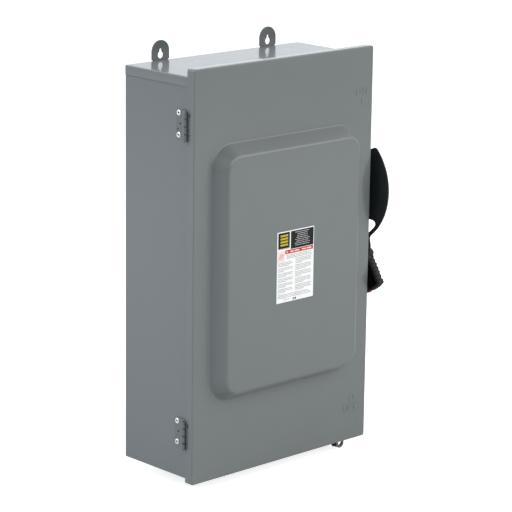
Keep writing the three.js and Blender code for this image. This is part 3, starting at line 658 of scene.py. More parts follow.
def hinges():
    """Two leaf hinges: a leaf riveted to the side wall, a leaf inside the door, knuckles, pins and rivets."""
    pitch, gap, thick, margin = 13.5 * MM, 0.8 * MM, 1.4 * MM, 0.3 * MM
    skin_x = WRAP_LOW.x - 0.3 * MM - thick / 2
    rivet_y, leaf_y, half_pitch = -145 * MM, -163 * MM, 19.4 * MM
    x0, y0, _ = HINGE_LINE
    for place in ("upper", "lower"):
        low, high = span(f"hinge_pin_{place}")
        mid_z = middle(low, high)[2]
        levels = [mid_z + (i - 2) * pitch for i in range(5)]
        # Body leaf: rounded ears at the rivets and two knuckles.
        ear = 2 * pitch - half_pitch - margin
        outline = [(leaf_y, levels[0] + margin)]
        outline += arc(rivet_y, mid_z - half_pitch, ear, -90, 0, 10)
        outline += arc(rivet_y, mid_z + half_pitch, ear, 0, 90, 10)
        outline += [(leaf_y, levels[4] - margin)]
        holes = [circle(rivet_y, mid_z + s * half_pitch, 2.9 * MM) for s in (-1, 1)]
        pieces = [plate("leaf", outline, holes, thick, 0.35 * MM, facing("x", skin_x))]
        path = [(skin_x, -162 * MM), (skin_x, -165 * MM), (skin_x - 2 * MM, -167.5 * MM),
                (x0 + 3.2 * MM, y0 + 3.4 * MM), (x0 + 1.2 * MM, y0 + 2.9 * MM)]
        for i in (1, 3):
            ends = (levels[i] + gap, levels[i + 1] - gap)
            pieces += [strip("step", path, *ends, thick), knuckle(*ends)]
        body_leaf = join(pieces, f"body_leaf_{place}")
        weigh(finish_piece(body_leaf, "root", HINGE_SHADED_ENAMEL, [f"hinge_body_leaf_{place}"]))
        # Black discs over the holes in the body leaf: painted shade for their dark insides.
        spots = [(-148.7 * MM, mid_z + 0.9 * MM, 1.7 * MM)]
        if place == "upper":
            spots.append((-142.6 * MM, mid_z - 9.4 * MM, 1.4 * MM))
        painted_hole_shade(f"leaf_fixings_{place}", "root", skin_x - thick / 2, spots)

        # Door leaf: round the flange's back edge and flat inside it.
        inside = DOOR_LOW.x + SHEET + 1.0 * MM
        pieces = [strip("plate", [(inside, -188 * MM), (inside, DOOR_HIGH.y + 0.5 * MM)],
                        levels[0] + margin, levels[4] - margin, thick)]
        path = [(x0 + 1.5 * MM, y0 + 0.1 * MM), (inside - 1.2 * MM, y0 + 0.1 * MM),
                (inside, y0 - 1.1 * MM), (inside, DOOR_HIGH.y - 2 * MM)]
        for i in (0, 2):
            ends = (levels[i] + gap, levels[i + 1] - gap)
            pieces += [strip("hook", path, *ends, thick), knuckle(*ends)]
        door_leaf = join(pieces, f"door_leaf_{place}")
        weigh(finish_piece(door_leaf, "door", HINGE_SHADED_ENAMEL, [f"hinge_door_leaf_{place}"]))

        radius, tip, chamfer = 1.6 * MM, 1.2 * MM, 0.4 * MM
        profile = [(0, low.z), (tip, low.z), (radius, low.z + chamfer), (radius, high.z - chamfer),
                   (tip, high.z), (0, high.z)]
        # The pin takes the dark spring steel: painted shade for a pin seen only deep in the knuckle gaps.
        pin = lathe(f"pin_{place}", profile, (x0, y0, 0), (0, 0, 1), 24)
        finish_piece(pin, "root", SPRING, [f"hinge_pin_{place}"])

        # Hollow rivets: a domed rim round an open bore, the bore painted black as painted shade for its dark
        # inside.
        for which, s in (("top", 1), ("bottom", -1)):
            node = f"hinge_rivet_{place}_{which}"
            face = skin_x - thick / 2 - 0.05 * MM
            centre = (face, rivet_y, mid_z + s * half_pitch)
            profile = drawn((0, -1.2), (1.8, -1.2), (1.8, 0.5), (1.95, 0.95), (2.4, 1.3), (3.1, 1.45),
                            (4.1, 1.3), (4.8, 0.9), (5.2, 0.45), (5.3, 0.2), (5.1, 0), (2.5, 0),
                            (2.5, -1.6), (0, -1.6))
            head = paint(lathe("head", profile, centre, (-1, 0, 0), 40), RIVET_ZINC)
            profile = drawn((0, -1.1), (1.75, -1.1), (1.75, 0.45), (1.55, 0.3), (1.45, -0.9), (0, -0.9))
            bore = paint(lathe("bore", profile, centre, (-1, 0, 0), 24), BLACK)
            finish_piece(join([head, bore], f"rivet_{place}_{which}"), "root", None, [node])
        # Black discs at small holes in the door flange: painted shade for their dark insides.
        spots = [(y * MM, mid_z + z * MM, radius * MM)
                 for y, z, radius in ((-180.7, 21, 1.6), (-180.7, 17, 1.6), (-179.8, -15, 1.1))]
        painted_hole_shade(f"flange_fixings_{place}", "door", DOOR_LOW.x, spots)


# ---------------------------------------------------------------- outside handle
def around(angle, radius):
    """A (y, z) point round the handle's pivot. angle is in degrees from straight down, towards the door."""
    a = math.radians(angle)
    return (HANDLE_PIVOT.y - radius * math.sin(a), HANDLE_PIVOT.z - radius * math.cos(a))


def marked_around(*pairs):
    """Points from (angle, radius in millimetres) pairs."""
    return [around(angle, radius * MM) for angle, radius in pairs]


def sweep(angle0, angle1, radius, steps=24, centre=None):
    cy, cz = centre or HANDLE_PIVOT.yz
    return arc(cy, cz, radius, -90 - angle0, -90 - angle1, steps)


def handle():
    """The handle arm with its window, hub and ring, then its grip and hub bolt."""
    _, high = span("handle_plate")
    rim, hub, inner = 111.4 * MM, 40 * MM, 231 * MM
    thick = high.x - inner
    tip = around(134, rim - 8 * MM)
    outline = marked_around((8, 150), (31, 150), (32, 130), (33, 126), (34.3, 119), (35.4, 114))
    outline += sweep(38, 134, rim, 60) + sweep(134, 214, 8 * MM, 14, tip)
    outline += sweep(200, 320, hub, 30)
    px, py, pz = high.x, *HANDLE_PIVOT.yz
    upper = drawn((-30, -57), (-68, -57), (-74, -57.4), (-78.5, -59.5), (-80.6, -63))
    lower = drawn((-29.5, -97), (-27, -92), (-26, -62), (-27, -58.6))
    window = [(py + u, pz + v) for u, v in upper] + sweep(49.5, 18, rim - 7.4 * MM, 24)
    window += [(py + u, pz + v) for u, v in lower]
    bore = circle(py, pz, 6.3 * MM, 36)
    blank = plate("blank", outline, [window, bore], thick, 0.7 * MM, facing("x", inner + thick / 2))
    profile = drawn((9.6, 0), (23, 0), (24, 1), (24, 5), (25.5, 6.4), (9.6, 6.4), (9.6, 0))
    boss = lathe("boss", profile, (inner - 6 * MM, py, pz), (1, 0, 0), 56)
    profile = drawn((29, -0.4), (30.2, 0.9), (31.6, 1.3), (33, 0.9), (34.2, -0.4), (29, -0.4))
    rib = lathe("rib", profile, (inner + thick, py, pz), (1, 0, 0), 72)
    blade = join([blank, boss, rib], "handle_arm")
    weigh(finish_piece(blade, "handle", BLACK, ["handle_plate"]))
    handle_grip()

    # Hub bolt: a chamfered hexagon head on a washer.
    profile = drawn((0, 0.4), (9.6, 0.4), (9.6, 5.2), (8.2, 6.2), (0, 6.4))
    head = lathe("head", profile, (px, py, pz), (1, 0, 0), 6)
    for polygon in head.data.polygons:
        polygon.use_smooth = False
    round_edges(head, 0.4 * MM)
    profile = drawn((6.5, 0.1), (12, 0.1), (12.3, 0.5), (12, 1.2), (6.5, 1.2), (6.5, 0.1))
    washer = lathe("washer", profile, (px, py, pz), (1, 0, 0), 48)
    finish_piece(join([head, washer], "hub_bolt"), "handle", ZINC, ["handle_bolt"])


GRIP_AXIS = math.radians(21)


def grip_point(x, t, u):
    """A point of the grip: u runs outwards along its middle line, t towards its front edge."""
    return (x, HANDLE_PIVOT.y - u * math.sin(GRIP_AXIS) - t * math.cos(GRIP_AXIS),
            HANDLE_PIVOT.z - u * math.cos(GRIP_AXIS) + t * math.sin(GRIP_AXIS))


def smooth_step(value, low, high):
    x = min(1.0, max(0.0, (value - low) / (high - low)))
    return x * x * (3 - 2 * x)


def resample(points, count):
    """Evenly spaced points round a closed outline."""
    loop = [Vector(p) for p in points] + [Vector(points[0])]
    lengths = [0.0]
    for a, b in zip(loop, loop[1:]):
        lengths.append(lengths[-1] + (b - a).length)
    result, k = [], 0
    for i in range(count):
        want = lengths[-1] * i / count
        while lengths[k + 1] < want:
            k += 1
        span_length = max(lengths[k + 1] - lengths[k], 1e-9)
        result.append(loop[k].lerp(loop[k + 1], (want - lengths[k]) / span_length))
    return result


def inset_outline(points, amount):
    """Moves each point of an anticlockwise outline inwards by its own amount."""
    count = len(points)
    moved = []
    for i, here in enumerate(points):
        along = points[(i + 2) % count] - points[i - 2]
        normal = Vector((-along.y, along.x)).normalized()
        moved.append(here + normal * amount(here))
    return moved


def handle_grip():
    """A moulded grip: a crowned outer skin with finger ridges, hollow on the side that faces the box."""
    low, high = span("handle_grip")
    mid_x, half = middle(low, high)[0], (high.x - low.x) / 2
    start, crown, crown_power = 124 * MM, 4.6 * MM, 2.6
    ridge_start, ridge_end, ridges, ridge_side = 147 * MM, 194 * MM, 6, 5 * MM
    edge = [(30, 124), (32.2, 127), (34.3, 134), (34.8, 139.5), (34.2, 142.5), (32.6, 146), (33.0, 155),
            (33.1, 171), (32.7, 190), (33.2, 198), (32.2, 201.5), (29.3, 205), (25.3, 207), (20, 207.3),
            (14, 207.3), (10.5, 206), (9.5, 202), (9.5, 170), (9.5, 124)]
    coarse = []
    for angle, r in edge:
        offset = math.radians(angle) - GRIP_AXIS
        t, u = r * MM * math.sin(offset), r * MM * math.cos(offset)
        if angle > 25:
            t -= 5.5 * MM * (0.4 + 0.6 * smooth_step(u, start, 138 * MM))
        coarse.append((t, u))
    outline = resample(soften(coarse, 4 * MM), 240)
    if sum(a.x * b.y - b.x * a.y for a, b in zip(outline, outline[1:])) < 0:
        outline.reverse()

    def ridged(point):
        return point.x > ridge_side and ridge_start < point.y < ridge_end

    def ridge(point):
        if not ridged(point):
            return 0.0
        phase = (point.y - ridge_start) / (ridge_end - ridge_start) * ridges
        return 0.5 - 0.5 * math.cos(2 * math.pi * phase)

    outline = inset_outline(outline, lambda p: 2.2 * MM * (1 - ridge(p)) if ridged(p) else 0.0)

    def level(x, inset):
        moved = inset_outline(outline, lambda p: inset)
        flare = [0.45 + 0.55 * smooth_step(p.y, start, 140 * MM) for p in outline]
        return [grip_point(mid_x + x * f, p.x, p.y) for p, f in zip(moved, flare)]

    loops = []
    for k in range(17):
        x = half * math.sin(math.pi / 2 * (k / 8 - 1))
        inset = crown * (1 - (1 - abs(x / half) ** crown_power) ** (1 / crown_power))
        loops.append(level(x, inset))
    shell = skin("shell", list(reversed(loops)), (1, 0, 0), thickness=0)

    # The hollow: a rolled rim, then scalloped walls down to a flat web; the walls are near-black, painted
    # shade for the deep hollow.
    def hollow(x, rim, scallop):
        ring = inset_outline(outline, lambda p: crown + rim + scallop * ridge(p))
        return [grip_point(mid_x + x, point.x, max(hollow_start, point.y)) for point in ring]

    hollow_start = 152 * MM
    rim = skin("rim", [level(-half, crown), hollow(-half, 0.8 * MM, 1.4 * MM)], (-1, 0, 0), False, 0)
    deep = [hollow(-half, 0.8 * MM, 1.4 * MM), hollow(-half + 0.5 * MM, 1.3 * MM, 1.6 * MM),
            hollow(-half + 8.5 * MM, 2.2 * MM, 1.8 * MM)]
    walls = skin("walls", list(reversed(deep)), (-1, 0, 0), thickness=0)
    grip = join([paint(shell, RUBBER), paint(rim, RUBBER), paint(walls, PAINTED_SHADE)], "grip_body")
    mend(grip.data, 0.005 * MM)
    finish_piece(grip, "handle", None, ["handle_grip"])
    smooth(grip)

    # Red flash on the outer face, and the red heel at the back of the grip's end.
    low, high = span("handle_grip_insert")
    outline = soften(marked_around((12, 146), (25, 146), (22, 195), (12, 195)), 6 * MM)
    flash = plate("red_flash", outline, [], high.x - low.x, 1.1 * MM, facing("x", middle(low, high)[0]), 4)
    outline = marked_around((8.6, 172), (11.5, 172), (14, 196), (20.5, 200.5), (20.5, 209), (8.6, 209))
    heel = plate("red_heel", soften(outline, 2 * MM), [], 10 * MM, 1.5 * MM, facing("x", mid_x), 4)
    red = join([flash, heel], "grip_flash")
    weigh(finish_piece(red, "handle", RED, ["handle_grip_insert"]))


def soften(points, radius, steps=6):
    """Rounds the corners of a polygon."""
    result = []
    count = len(points)
    for i in range(count):
        here, before, after = (Vector(points[k % count]) for k in (i, i - 1, i + 1))
        a, b = (before - here).normalized(), (after - here).normalized()
        half = math.acos(max(-1.0, min(1.0, a.dot(b)))) / 2
        reach = min(radius / math.tan(half), (before - here).length / 2, (after - here).length / 2)
        start, end = here + a * reach, here + b * reach
        for k in range(steps + 1):
            t = k / steps
            result.append(tuple(start * (1 - t) ** 2 + here * 2 * t * (1 - t) + end * t ** 2))
    return result


# ---------------------------------------------------------------- labels
INK_RISE = 0.05 * MM


def bar(x0, x1, z0, z1, y, material):
    """A flat printed block on a label."""
    corner = min(0.16 * min(x1 - x0, z1 - z0), 0.5 * MM)
    outline = rounded_rect(x1 - x0, z1 - z0, corner, (x0 + x1) / 2, (z0 + z1) / 2, 3)
    verts = [(u, y, v) for u, v in outline] + [(u, y - INK_RISE, v) for u, v in outline]
    n = len(outline)
    faces = [tuple(range(n)), tuple(range(2 * n - 1, n - 1, -1))]
    faces += [(i, n + i, n + (i + 1) % n, (i + 1) % n) for i in range(n)]
    obj = add_mesh("bar", verts, faces)
    mend(obj.data, outward=(0, 1, 0))
    return paint(obj, material)


def label_film(low, high, corner, steps):
    """The blank film of a label that faces the front or the back."""
    x, y, z = middle(low, high)
    outline = rounded_rect(high.x - low.x, high.z - low.z, corner, x, z, steps)
    return paint(plate("film", outline, [], high.y - low.y, 0.08 * MM, facing("y", y), 2), PAPER)


def print_row(x0, x1, z, height, y, material):
    """One row of short blocks, as long as the words of small print."""
    blocks, x = [], x0
    while x < x1 - 1.2 * MM:
        run = min(random.uniform(2.2, 7) * MM, x1 - x)
        blocks.append(bar(x, x + run, z - height, z, y, material))
        x += run + 0.9 * MM
    return blocks


def print_rows(x0, x1, z_top, z_bottom, pitch, height, y, material, seed, lines=3):
    """Paragraphs of print rows, each ending in a short row."""
    random.seed(seed)
    blocks, z, row = [], z_top, 0
    while z - height > z_bottom:
        last = row % lines == lines - 1
        end = x1 - (x1 - x0) * (random.uniform(0.3, 0.65) if last else random.uniform(0, 0.08))
        blocks += print_row(x0, end, z, height, y, material)
        z -= pitch * (1.55 if last else 1.0)
        row += 1
    return blocks


def rating_label():
    """The panel label: a black header, a red band and two columns of bars, none of it lettering."""
    left, right, bottom, top = LABEL_LOW.x, LABEL_HIGH.x, LABEL_LOW.z, LABEL_HIGH.z
    width, height = right - left, top - bottom

    def across(part):
        return left + part * width

    def down(part):
        return top - part * height

    def block(x0, x1, z0, z1, level, ink):
        return bar(across(x0), across(x1), down(z1), down(z0), level, ink)

    def rows(x0, x1, z0, z1, seed, lines=3):
        ends = (across(x0), across(x1), down(z0), down(z1))
        return print_rows(*ends, pitch, tall, y, GREY_INK, seed, lines)

    y, raised, pitch, tall = LABEL_LOW.y, LABEL_LOW.y - INK_RISE, 2.7 * MM, 1.05 * MM
    pieces = [label_film(LABEL_LOW, LABEL_HIGH, 0.6 * MM, 3)]
    pieces += [block(0.025, 0.335, 0.014, 0.236, y, INK), block(0.365, 0.985, 0.014, 0.262, y, INK)]
    # A plain stack of yellow blocks in the left of the header.
    for row in range(4):
        z = down(0.045 + 0.043 * row)
        pieces += [bar(across(0.085), across(0.29), z - 0.027 * height, z, raised, YELLOW_INK)]
    # Centred rows in the right of the header.
    random.seed(5)
    for row in range(8):
        z = down(0.034 + 0.0262 * row)
        half = random.uniform(0.13, 0.24)
        pieces += print_row(across(0.68 - half), across(0.68 + half), z, 1.25 * MM, raised, PALE_INK)
    pieces += print_row(across(0.04), across(0.33), down(0.240), 1.1 * MM, y, GREY_INK)
    # The red band.
    pieces += [block(0.216, 0.978, 0.268, 0.322, y, RED_INK)]
    for x0, x1 in ((0.25, 0.29), (0.35, 0.45), (0.47, 0.60), (0.67, 0.78), (0.80, 0.93)):
        pieces += [block(x0, x1, 0.287, 0.304, raised, PINK_INK)]
    # A pale patch with slanted strokes at the left of the band.
    pieces += [block(0.03, 0.205, 0.27, 0.42, y, PINK_INK)]
    for k in range(3):
        streak = bar(-0.45 * MM, 0.45 * MM, -5.5 * MM, 5.5 * MM, raised, RED_INK)
        corner = Matrix.Translation((across(0.075 + 0.042 * k), 0, down(0.345)))
        streak.matrix_world = corner @ Matrix.Rotation(0.55, 4, "Y")
        pieces += [streak]
    # Two columns of small print, a line above them, and a closing row with two blocks.
    pieces += rows(0.25, 0.95, 0.338, 0.392, 3, 9) + rows(0.04, 0.44, 0.435, 0.87, 11)
    pieces += rows(0.50, 0.95, 0.405, 0.87, 19, 4) + rows(0.04, 0.95, 0.885, 0.945, 23, 9)
    pieces += print_row(across(0.2), across(0.36), down(0.958), tall, y, GREY_INK)
    pieces += [block(0.44, 0.47, 0.955, 0.985, y, INK), block(0.49, 0.53, 0.955, 0.985, y, INK)]
    finish_piece(join(pieces, "panel_label"), "door", None, ["rating_label"])


def wiring_label():
    """The plain diagram inside the door: three switched poles drawn as lines."""
    low, high = span("wiring_label")
    line, mid_z, raised = 0.6 * MM, middle(low, high)[2], high.y + INK_RISE
    pieces = [label_film(low, high, 2 * MM, 4)]
    pieces += [bar(low.x + 6 * MM, high.x - 6 * MM, high.z - 20 * MM, high.z - 8 * MM, raised, RED_INK)]
    for x in (-38 * MM, 0, 38 * MM):
        for z0, z1 in drawn((22, 60), (-10, 2), (-50, -34)):
            pieces += [bar(x - line, x + line, mid_z + z0, mid_z + z1, raised, INK)]
        outer, inner = (rounded_rect(w * MM, h * MM, r * MM, x, mid_z - 22 * MM, 3)
                        for w, h, r in ((11, 25, 2), (8.6, 22.6, 1)))
        fuse_ring = plate("fuse", outer, [inner], 0.08 * MM, 0.01 * MM, facing("y", high.y), 1)
        arm = bar(-line, line, 0, 20 * MM, raised, INK)
        arm.matrix_world = Matrix.Translation((x, 0, mid_z + 2 * MM)) @ Matrix.Rotation(0.5, 4, "Y")
        pieces += [paint(fuse_ring, INK), arm]
    pieces += print_rows(low.x + 8 * MM, high.x - 8 * MM, mid_z - 58 * MM, low.z + 8 * MM,
                         4.2 * MM, 1.6 * MM, raised, GREY_INK, 31, 4)
    finish_piece(join(pieces, "inner_diagram"), "door", None, ["wiring_label"])


# ---------------------------------------------------------------- hasp and latch
def hasp():
    """Two padlock tabs, one behind the other, and the spring plunger beside them."""
    x, z, hole, half, thick = 173 * MM, -382 * MM, 5.8 * MM, 9.4 * MM, 2.3 * MM
    low, high = span("door_hasp")
    top, front, left = low.z + 22.5 * MM, high.y - thick, low.x + 1 * MM
    outline = arc(x, z, half, 180, 360, 24)
    outline += [(x + half, top), (left, top), (left, top - 5 * MM), (x - half, top - 8.5 * MM)]
    tab = plate("tab", outline, [circle(x, z, hole, 36)], thick, 0.5 * MM, facing("y", (front + high.y) / 2))
    ear_outline = [(low.y, z - 1 * MM), (low.y + 1 * MM, z - 3 * MM), (front + 1 * MM, z - 3 * MM),
                   (front + 1 * MM, top - 3 * MM), (low.y, top - 7 * MM)]
    ear_hole = circle(low.y + 3.5 * MM, z + 2.2 * MM, 2.7 * MM, 18)
    ear = plate("ear", ear_outline, [ear_hole], 1.9 * MM, 0.3 * MM, facing("x", left))
    door_tab = join([tab, ear], "padlock_tab_door")
    weigh(finish_piece(door_tab, "door", ENAMEL, ["door_hasp"]))

    low, high = span("body_hasp")
    half, top = 9 * MM, high.z - 0.6 * MM
    outline = arc(x, z + 2 * MM, half, 180, 360, 24) + [(x + half, top), (x - half, top)]
    tab = plate("tab", outline, [circle(x + 1 * MM, z + 1 * MM, hole, 36)], 2.2 * MM, 0.5 * MM,
                facing("y", low.y + 1.1 * MM))
    front, back = low.y + 0.4 * MM, high.y - 3 * MM
    outline = [(x - half, front), (x + half, front), (x + half, back), (x + 6 * MM, high.y),
               (x - 6 * MM, high.y), (x - half, back)]
    foot = plate("foot", outline, [], 2 * MM, 0.5 * MM, facing("z", high.z - 1 * MM))
    body_tab = join([tab, foot], "padlock_tab_body")
    weigh(finish_piece(body_tab, "root", ENAMEL, ["body_hasp"]))

    low, high = span("latch_plunger")
    _, y, z = middle(low, high)
    knob, pin, length = (high.z - low.z) / 2, 2.4 * MM, high.x - low.x
    profile = [(0, 0), (knob - 0.8 * MM, 0), (knob, 0.8 * MM), (knob, 2.4 * MM), (knob - 0.6 * MM, 3 * MM),
               (pin, 3 * MM), (pin, length - 1 * MM), (pin - 0.9 * MM, length), (0, length)]
    plunger = lathe("spring_plunger", profile, (low.x, y, z), (1, 0, 0), 32)
    finish_piece(plunger, "latch", MOULDING, ["latch_plunger"])


# ---------------------------------------------------------------- inside the box
def dress(material, slot, bevel, *nodes):
    """CAD nodes that are shown as they are: a material and rounded edges."""
    for node in nodes:
        obj = frame["nodes"][node]
        obj.data.materials.clear()
        obj.data.materials.append(material)
        for polygon in obj.data.polygons:
            polygon.material_index = 0
        if bevel:
            round_edges(obj, bevel, 2, 40)


def set_down(pieces, name, centre, axis, turn=0.0):
    """Joins the pieces of a screw drawn along +Z, and stands it at centre along axis."""
    turned = Vector((0, 0, 1)).rotation_difference(Vector(axis)).to_matrix().to_4x4()
    place = Matrix.Translation(centre) @ turned @ Matrix.Rotation(turn, 4, "Z")
    for piece in pieces:
        piece.data.transform(place)
    finish_piece(join(pieces, name), "root", ZINC)


def slotted_screw(name, centre, axis, radius, turn=0.4):
    """A cheese-head screw: a rim with a slot across it, over a lower disc."""
    half = 0.11 * radius
    edge = [(radius * math.cos(a), radius * math.sin(a)) for a in np.linspace(0.12, math.pi - 0.12, 22)]
    height, dip, chamfer = 0.55 * radius, 0.3 * radius, 0.12 * radius
    levels = ((1.0, 0.0), (1.0, height - chamfer), (0.86, height))
    pieces = []
    for sign in (1, -1):
        outline = [(u * sign, max(v, half) * sign) for u, v in edge]
        verts = [(u * k, v * k if abs(v) > half * 1.01 else v, h) for k, h in levels for u, v in outline]
        n = len(outline)
        faces = quads(len(levels), n) + [tuple(range(2 * n, 3 * n)), tuple(reversed(range(n)))]
        half_head = add_mesh("half_head", verts, faces)
        mend(half_head.data, outward=(0, 0, 1), index=len(faces) - 2)
        pieces.append(half_head)
    disc, foot = radius * 0.97, -0.2 * radius
    profile = [(0, foot), (disc, foot), (disc, dip * 0.6), (0, dip * 0.6)]
    pieces.append(lathe("base", profile, (0, 0, 0), (0, 0, 1), 24))
    set_down(pieces, name, centre, axis, turn)


def set_screw(name, centre, axis, radius):
    """A socket set screw, sunk a little, with a hexagonal recess."""
    socket = [(0.52 * radius * math.cos(a), 0.52 * radius * math.sin(a))
              for a in np.linspace(0, 2 * math.pi, 7)[:-1]]
    outline = circle(0, 0, radius)
    ring = plate("ring", outline, [socket], 3 * MM, 0.35 * MM, facing("z", -1.5 * MM), 2)
    profile = [(0, -2.2 * MM), (radius * 0.9, -2.2 * MM), (radius * 0.9, -2.6 * MM), (0, -2.6 * MM)]
    set_down([ring, lathe("base", profile, (0, 0, 0), (0, 0, 1), 24)], name, centre, axis)


def fuse(pole):
    """A cartridge fuse: a fibre tube between rolled ferrules, with drilled blades."""
    low, high = span(f"fuse_{pole}")
    x, y, mid_z = middle(low, high)
    body, ferrule, radius, wide, thick = 150 * MM, 22 * MM, 25 * MM, 34 * MM, 5 * MM
    z0, z1 = mid_z - body / 2, mid_z + body / 2

    def turned(name, profile, material):
        return paint(lathe(name, profile, (x, y, 0), (0, 0, 1), 56), material)

    def sleeve(name, rise, edge, z_low, z_high, material):
        outer = radius + edge
        return turned(name, [(radius + rise, mid_z + z_low), (outer, mid_z + z_low + 0.1 * MM),
                             (outer, mid_z + z_high - 0.1 * MM), (radius + rise, mid_z + z_high)], material)

    tube = [(0, z0 + 2 * MM), (radius, z0 + 2 * MM), (radius, z1 - 2 * MM), (0, z1 - 2 * MM)]
    pieces = [turned("tube", tube, FUSE_TUBE),
              sleeve("band", 0.02 * MM, 0.15 * MM, -38 * MM, 38 * MM, PAPER),
              sleeve("stripe", 0.1 * MM, 0.2 * MM, 16 * MM, 32 * MM, RED_INK)]
    for end, tip, sign in ((z0, low.z, 1), (z1, high.z, -1)):
        rim = radius + 0.9 * MM
        crown = ((0, 0.4), (10, 0.4), (11, 0), (21, 0), (24.2, 0.7), (25.6, 2.2))
        profile = [(r * MM, end + sign * (h - 1) * MM) for r, h in crown]
        profile += [(r, end + sign * h) for r, h in (
            (rim, 4 * MM), (rim, ferrule - 6 * MM), (rim - 0.6 * MM, ferrule - 5 * MM),
            (rim, ferrule - 4 * MM), (rim, ferrule - 0.8 * MM), (rim - 0.5 * MM, ferrule), (radius, ferrule))]
        left, right, root_z = y - wide / 2, y + wide / 2, end + sign * 1 * MM
        outline = soften([(left, root_z), (right, root_z), (right, tip), (left, tip)], 3 * MM)
        hole = circle(y, tip + sign * 14 * MM, 4.5 * MM)
        blade = plate("blade", outline, [hole], thick, 0.5 * MM, facing("x", x))
        pieces += [turned("ferrule", profile, TIN), paint(blade, TIN)]
    made = join(pieces, f"cartridge_fuse_{pole}")
    weigh(finish_piece(made, "root", None, [f"fuse_{pole}"]))


def coil_spring():
    """The drive spring, with its end turns closed up."""
    low, high = span("drive_spring")
    x, y, _ = middle(low, high)
    thick, turns = 1.7 * MM, 13
    radius, lift = (high.x - low.x) / 2 - thick, high.z - low.z - 2 * thick
    path, steps = [], turns * 24
    for i in range(steps + 1):
        t = i / steps
        eased = min(1.0, max(0.0, (t * turns - 0.8) / (turns - 1.6)))
        a = 2 * math.pi * turns * t
        path.append((x + radius * math.cos(a), y + radius * math.sin(a),
                     low.z + thick + lift * (0.02 * t + 0.98 * eased)))
    coil = join([wire("coil_curve", path, 2 * thick)], "drive_coil")
    smooth(coil)
    finish_piece(coil, "root", SPRING, ["drive_spring"])


def neutral_block():
    """A moulded insulator with a recessed top, ribbed sides and two fixing feet."""
    low, high = span("neutral_block")
    x, y, z = middle(low, high)
    w, depth, h = high - low
    outline = rounded_rect(w, h, 3 * MM, x, z, 4)
    base = plate("base", outline, [], 5 * MM, 0.8 * MM, facing("y", high.y - 2.5 * MM))
    trunk = plate("trunk", rounded_rect(w - 5 * MM, h - 14 * MM, 2 * MM, x, z, 4),
                  [rounded_rect(w - 16 * MM, h - 34 * MM, 2 * MM, x, z, 4)], depth - 4 * MM, 0.8 * MM,
                  facing("y", y - 2 * MM))
    ribs = [plate("rib", rounded_rect(w - 1.5 * MM, 3 * MM, 1.2 * MM, x, z + k * 22 * MM, 3), [],
                  depth - 9 * MM, 0.6 * MM, facing("y", y)) for k in (-2, -1, 0, 1, 2)]
    block = join([base, trunk, *ribs], "neutral_insulator")
    finish_piece(block, "root", MOULDING, ["neutral_block"])


def interior():
    dress(ENAMEL, "grey_enamel", 0.4 * MM, "bottom_end_wall", "knockout_1", "knockout_2", "knockout_3")
    dress(BLACK, "black_steel", 0.5 * MM, "handle_bearing_plate")
    dress(ZINC, "zinc_plate", 0.4 * MM, "mechanism_housing", "drive_crank", "handle_shaft",
          "interlock_lever", "interlock_catch")
    dress(MOULDING, "black_moulding", 1.6 * MM, "line_base", "fuse_base", "crossbar")
    dress(CLEAR, "clear_shield", 0.5 * MM, "line_shield")
    dress(TIN, "tinned_metal", 0.6 * MM, "neutral_bar", "ground_bar")
    neutral_block()
    coil_spring()
    for pole in ("A", "B", "C"):
        dress(TIN, "tinned_metal", 0.5 * MM, f"line_lug_{pole}", f"load_lug_{pole}")
        dress(COPPER, "copper", 0.4 * MM, f"hinge_clip_{pole}", f"blade_{pole}")
        dress(FIBRE, "grey_fibre", 0.8 * MM, f"arc_shield_{pole}")
        fuse(pole)
        for where in ("line", "load"):
            low, high = span(f"{where}_lug_{pole}")
            z = high.z - 16 * MM if where == "line" else low.z + 16 * MM
            centre = (middle(low, high)[0], low.y + 0.8 * MM, z)
            set_screw(f"{where}_wire_screw_{pole}", centre, FRONT, 6.4 * MM)
        low, high = span(f"hinge_clip_{pole}")
        centre = (middle(low, high)[0], high.y - 3.2 * MM, low.z + 12 * MM)
        slotted_screw(f"clip_screw_{pole}", centre, FRONT, 4.2 * MM)
    low, high = span("neutral_bar")
    for k in range(5):
        centre = (middle(low, high)[0], low.y, -125 * MM + k * 17.5 * MM)
        slotted_screw(f"neutral_screw_{k + 1}", centre, FRONT, 4.6 * MM, 0.5 * k)
    low, high = span("ground_bar")
    for k in range(4):
        centre = (79 * MM + k * 16 * MM, low.y, middle(low, high)[2])
        slotted_screw(f"ground_screw_{k + 1}", centre, FRONT, 4.2 * MM, 0.7 * k)
    low, high = span("mechanism_housing")
    left, right, bottom, top = low.x + 12 * MM, high.x - 12 * MM, low.z + 12 * MM, high.z - 12 * MM
    for k, (x, z) in enumerate(((right, top), (left, top), (right, bottom), (left, bottom))):
        slotted_screw(f"housing_screw_{k + 1}", (x, high.y - 2 * MM, z), FRONT, 4.4 * MM, 0.9 * k)
    low, high = span("handle_bearing_plate")
    for k, (dy, dz) in enumerate(drawn((-32, -52), (32, -52), (-32, 52), (32, 52))):
        centre = (low.x + 2.5 * MM, HANDLE_PIVOT.y + dy, HANDLE_PIVOT.z + dz)
        slotted_screw(f"bearing_screw_{k + 1}", centre, (1, 0, 0), 4.4 * MM, 0.4 + k)
    # Rivets that hold the hanging lugs: a stem with a low dome.
    profile = drawn((0, 3), (2.9, 3), (2.9, 0.1), (4.6, 0), (4.8, -0.4), (4.2, -1.3), (2.6, -1.9), (0, -2.1))
    for side in ("left", "right"):
        low, high = span(f"mounting_lug_{side}")
        for k, dx in enumerate((-9, 9)):
            centre = (middle(low, high)[0] + dx * MM, low.y, low.z + 12 * MM)
            rivet = lathe(f"lug_rivet_{side}_{k + 1}", profile, centre, (0, 1, 0), 32)
            finish_piece(rivet, "root", ZINC)


# ---------------------------------------------------------------- floor, light and camera
COOL = (0.94, 0.98, 1.03)
WARM = (1.0, 0.99, 0.97)
WHITE = (1, 1, 1, 1)
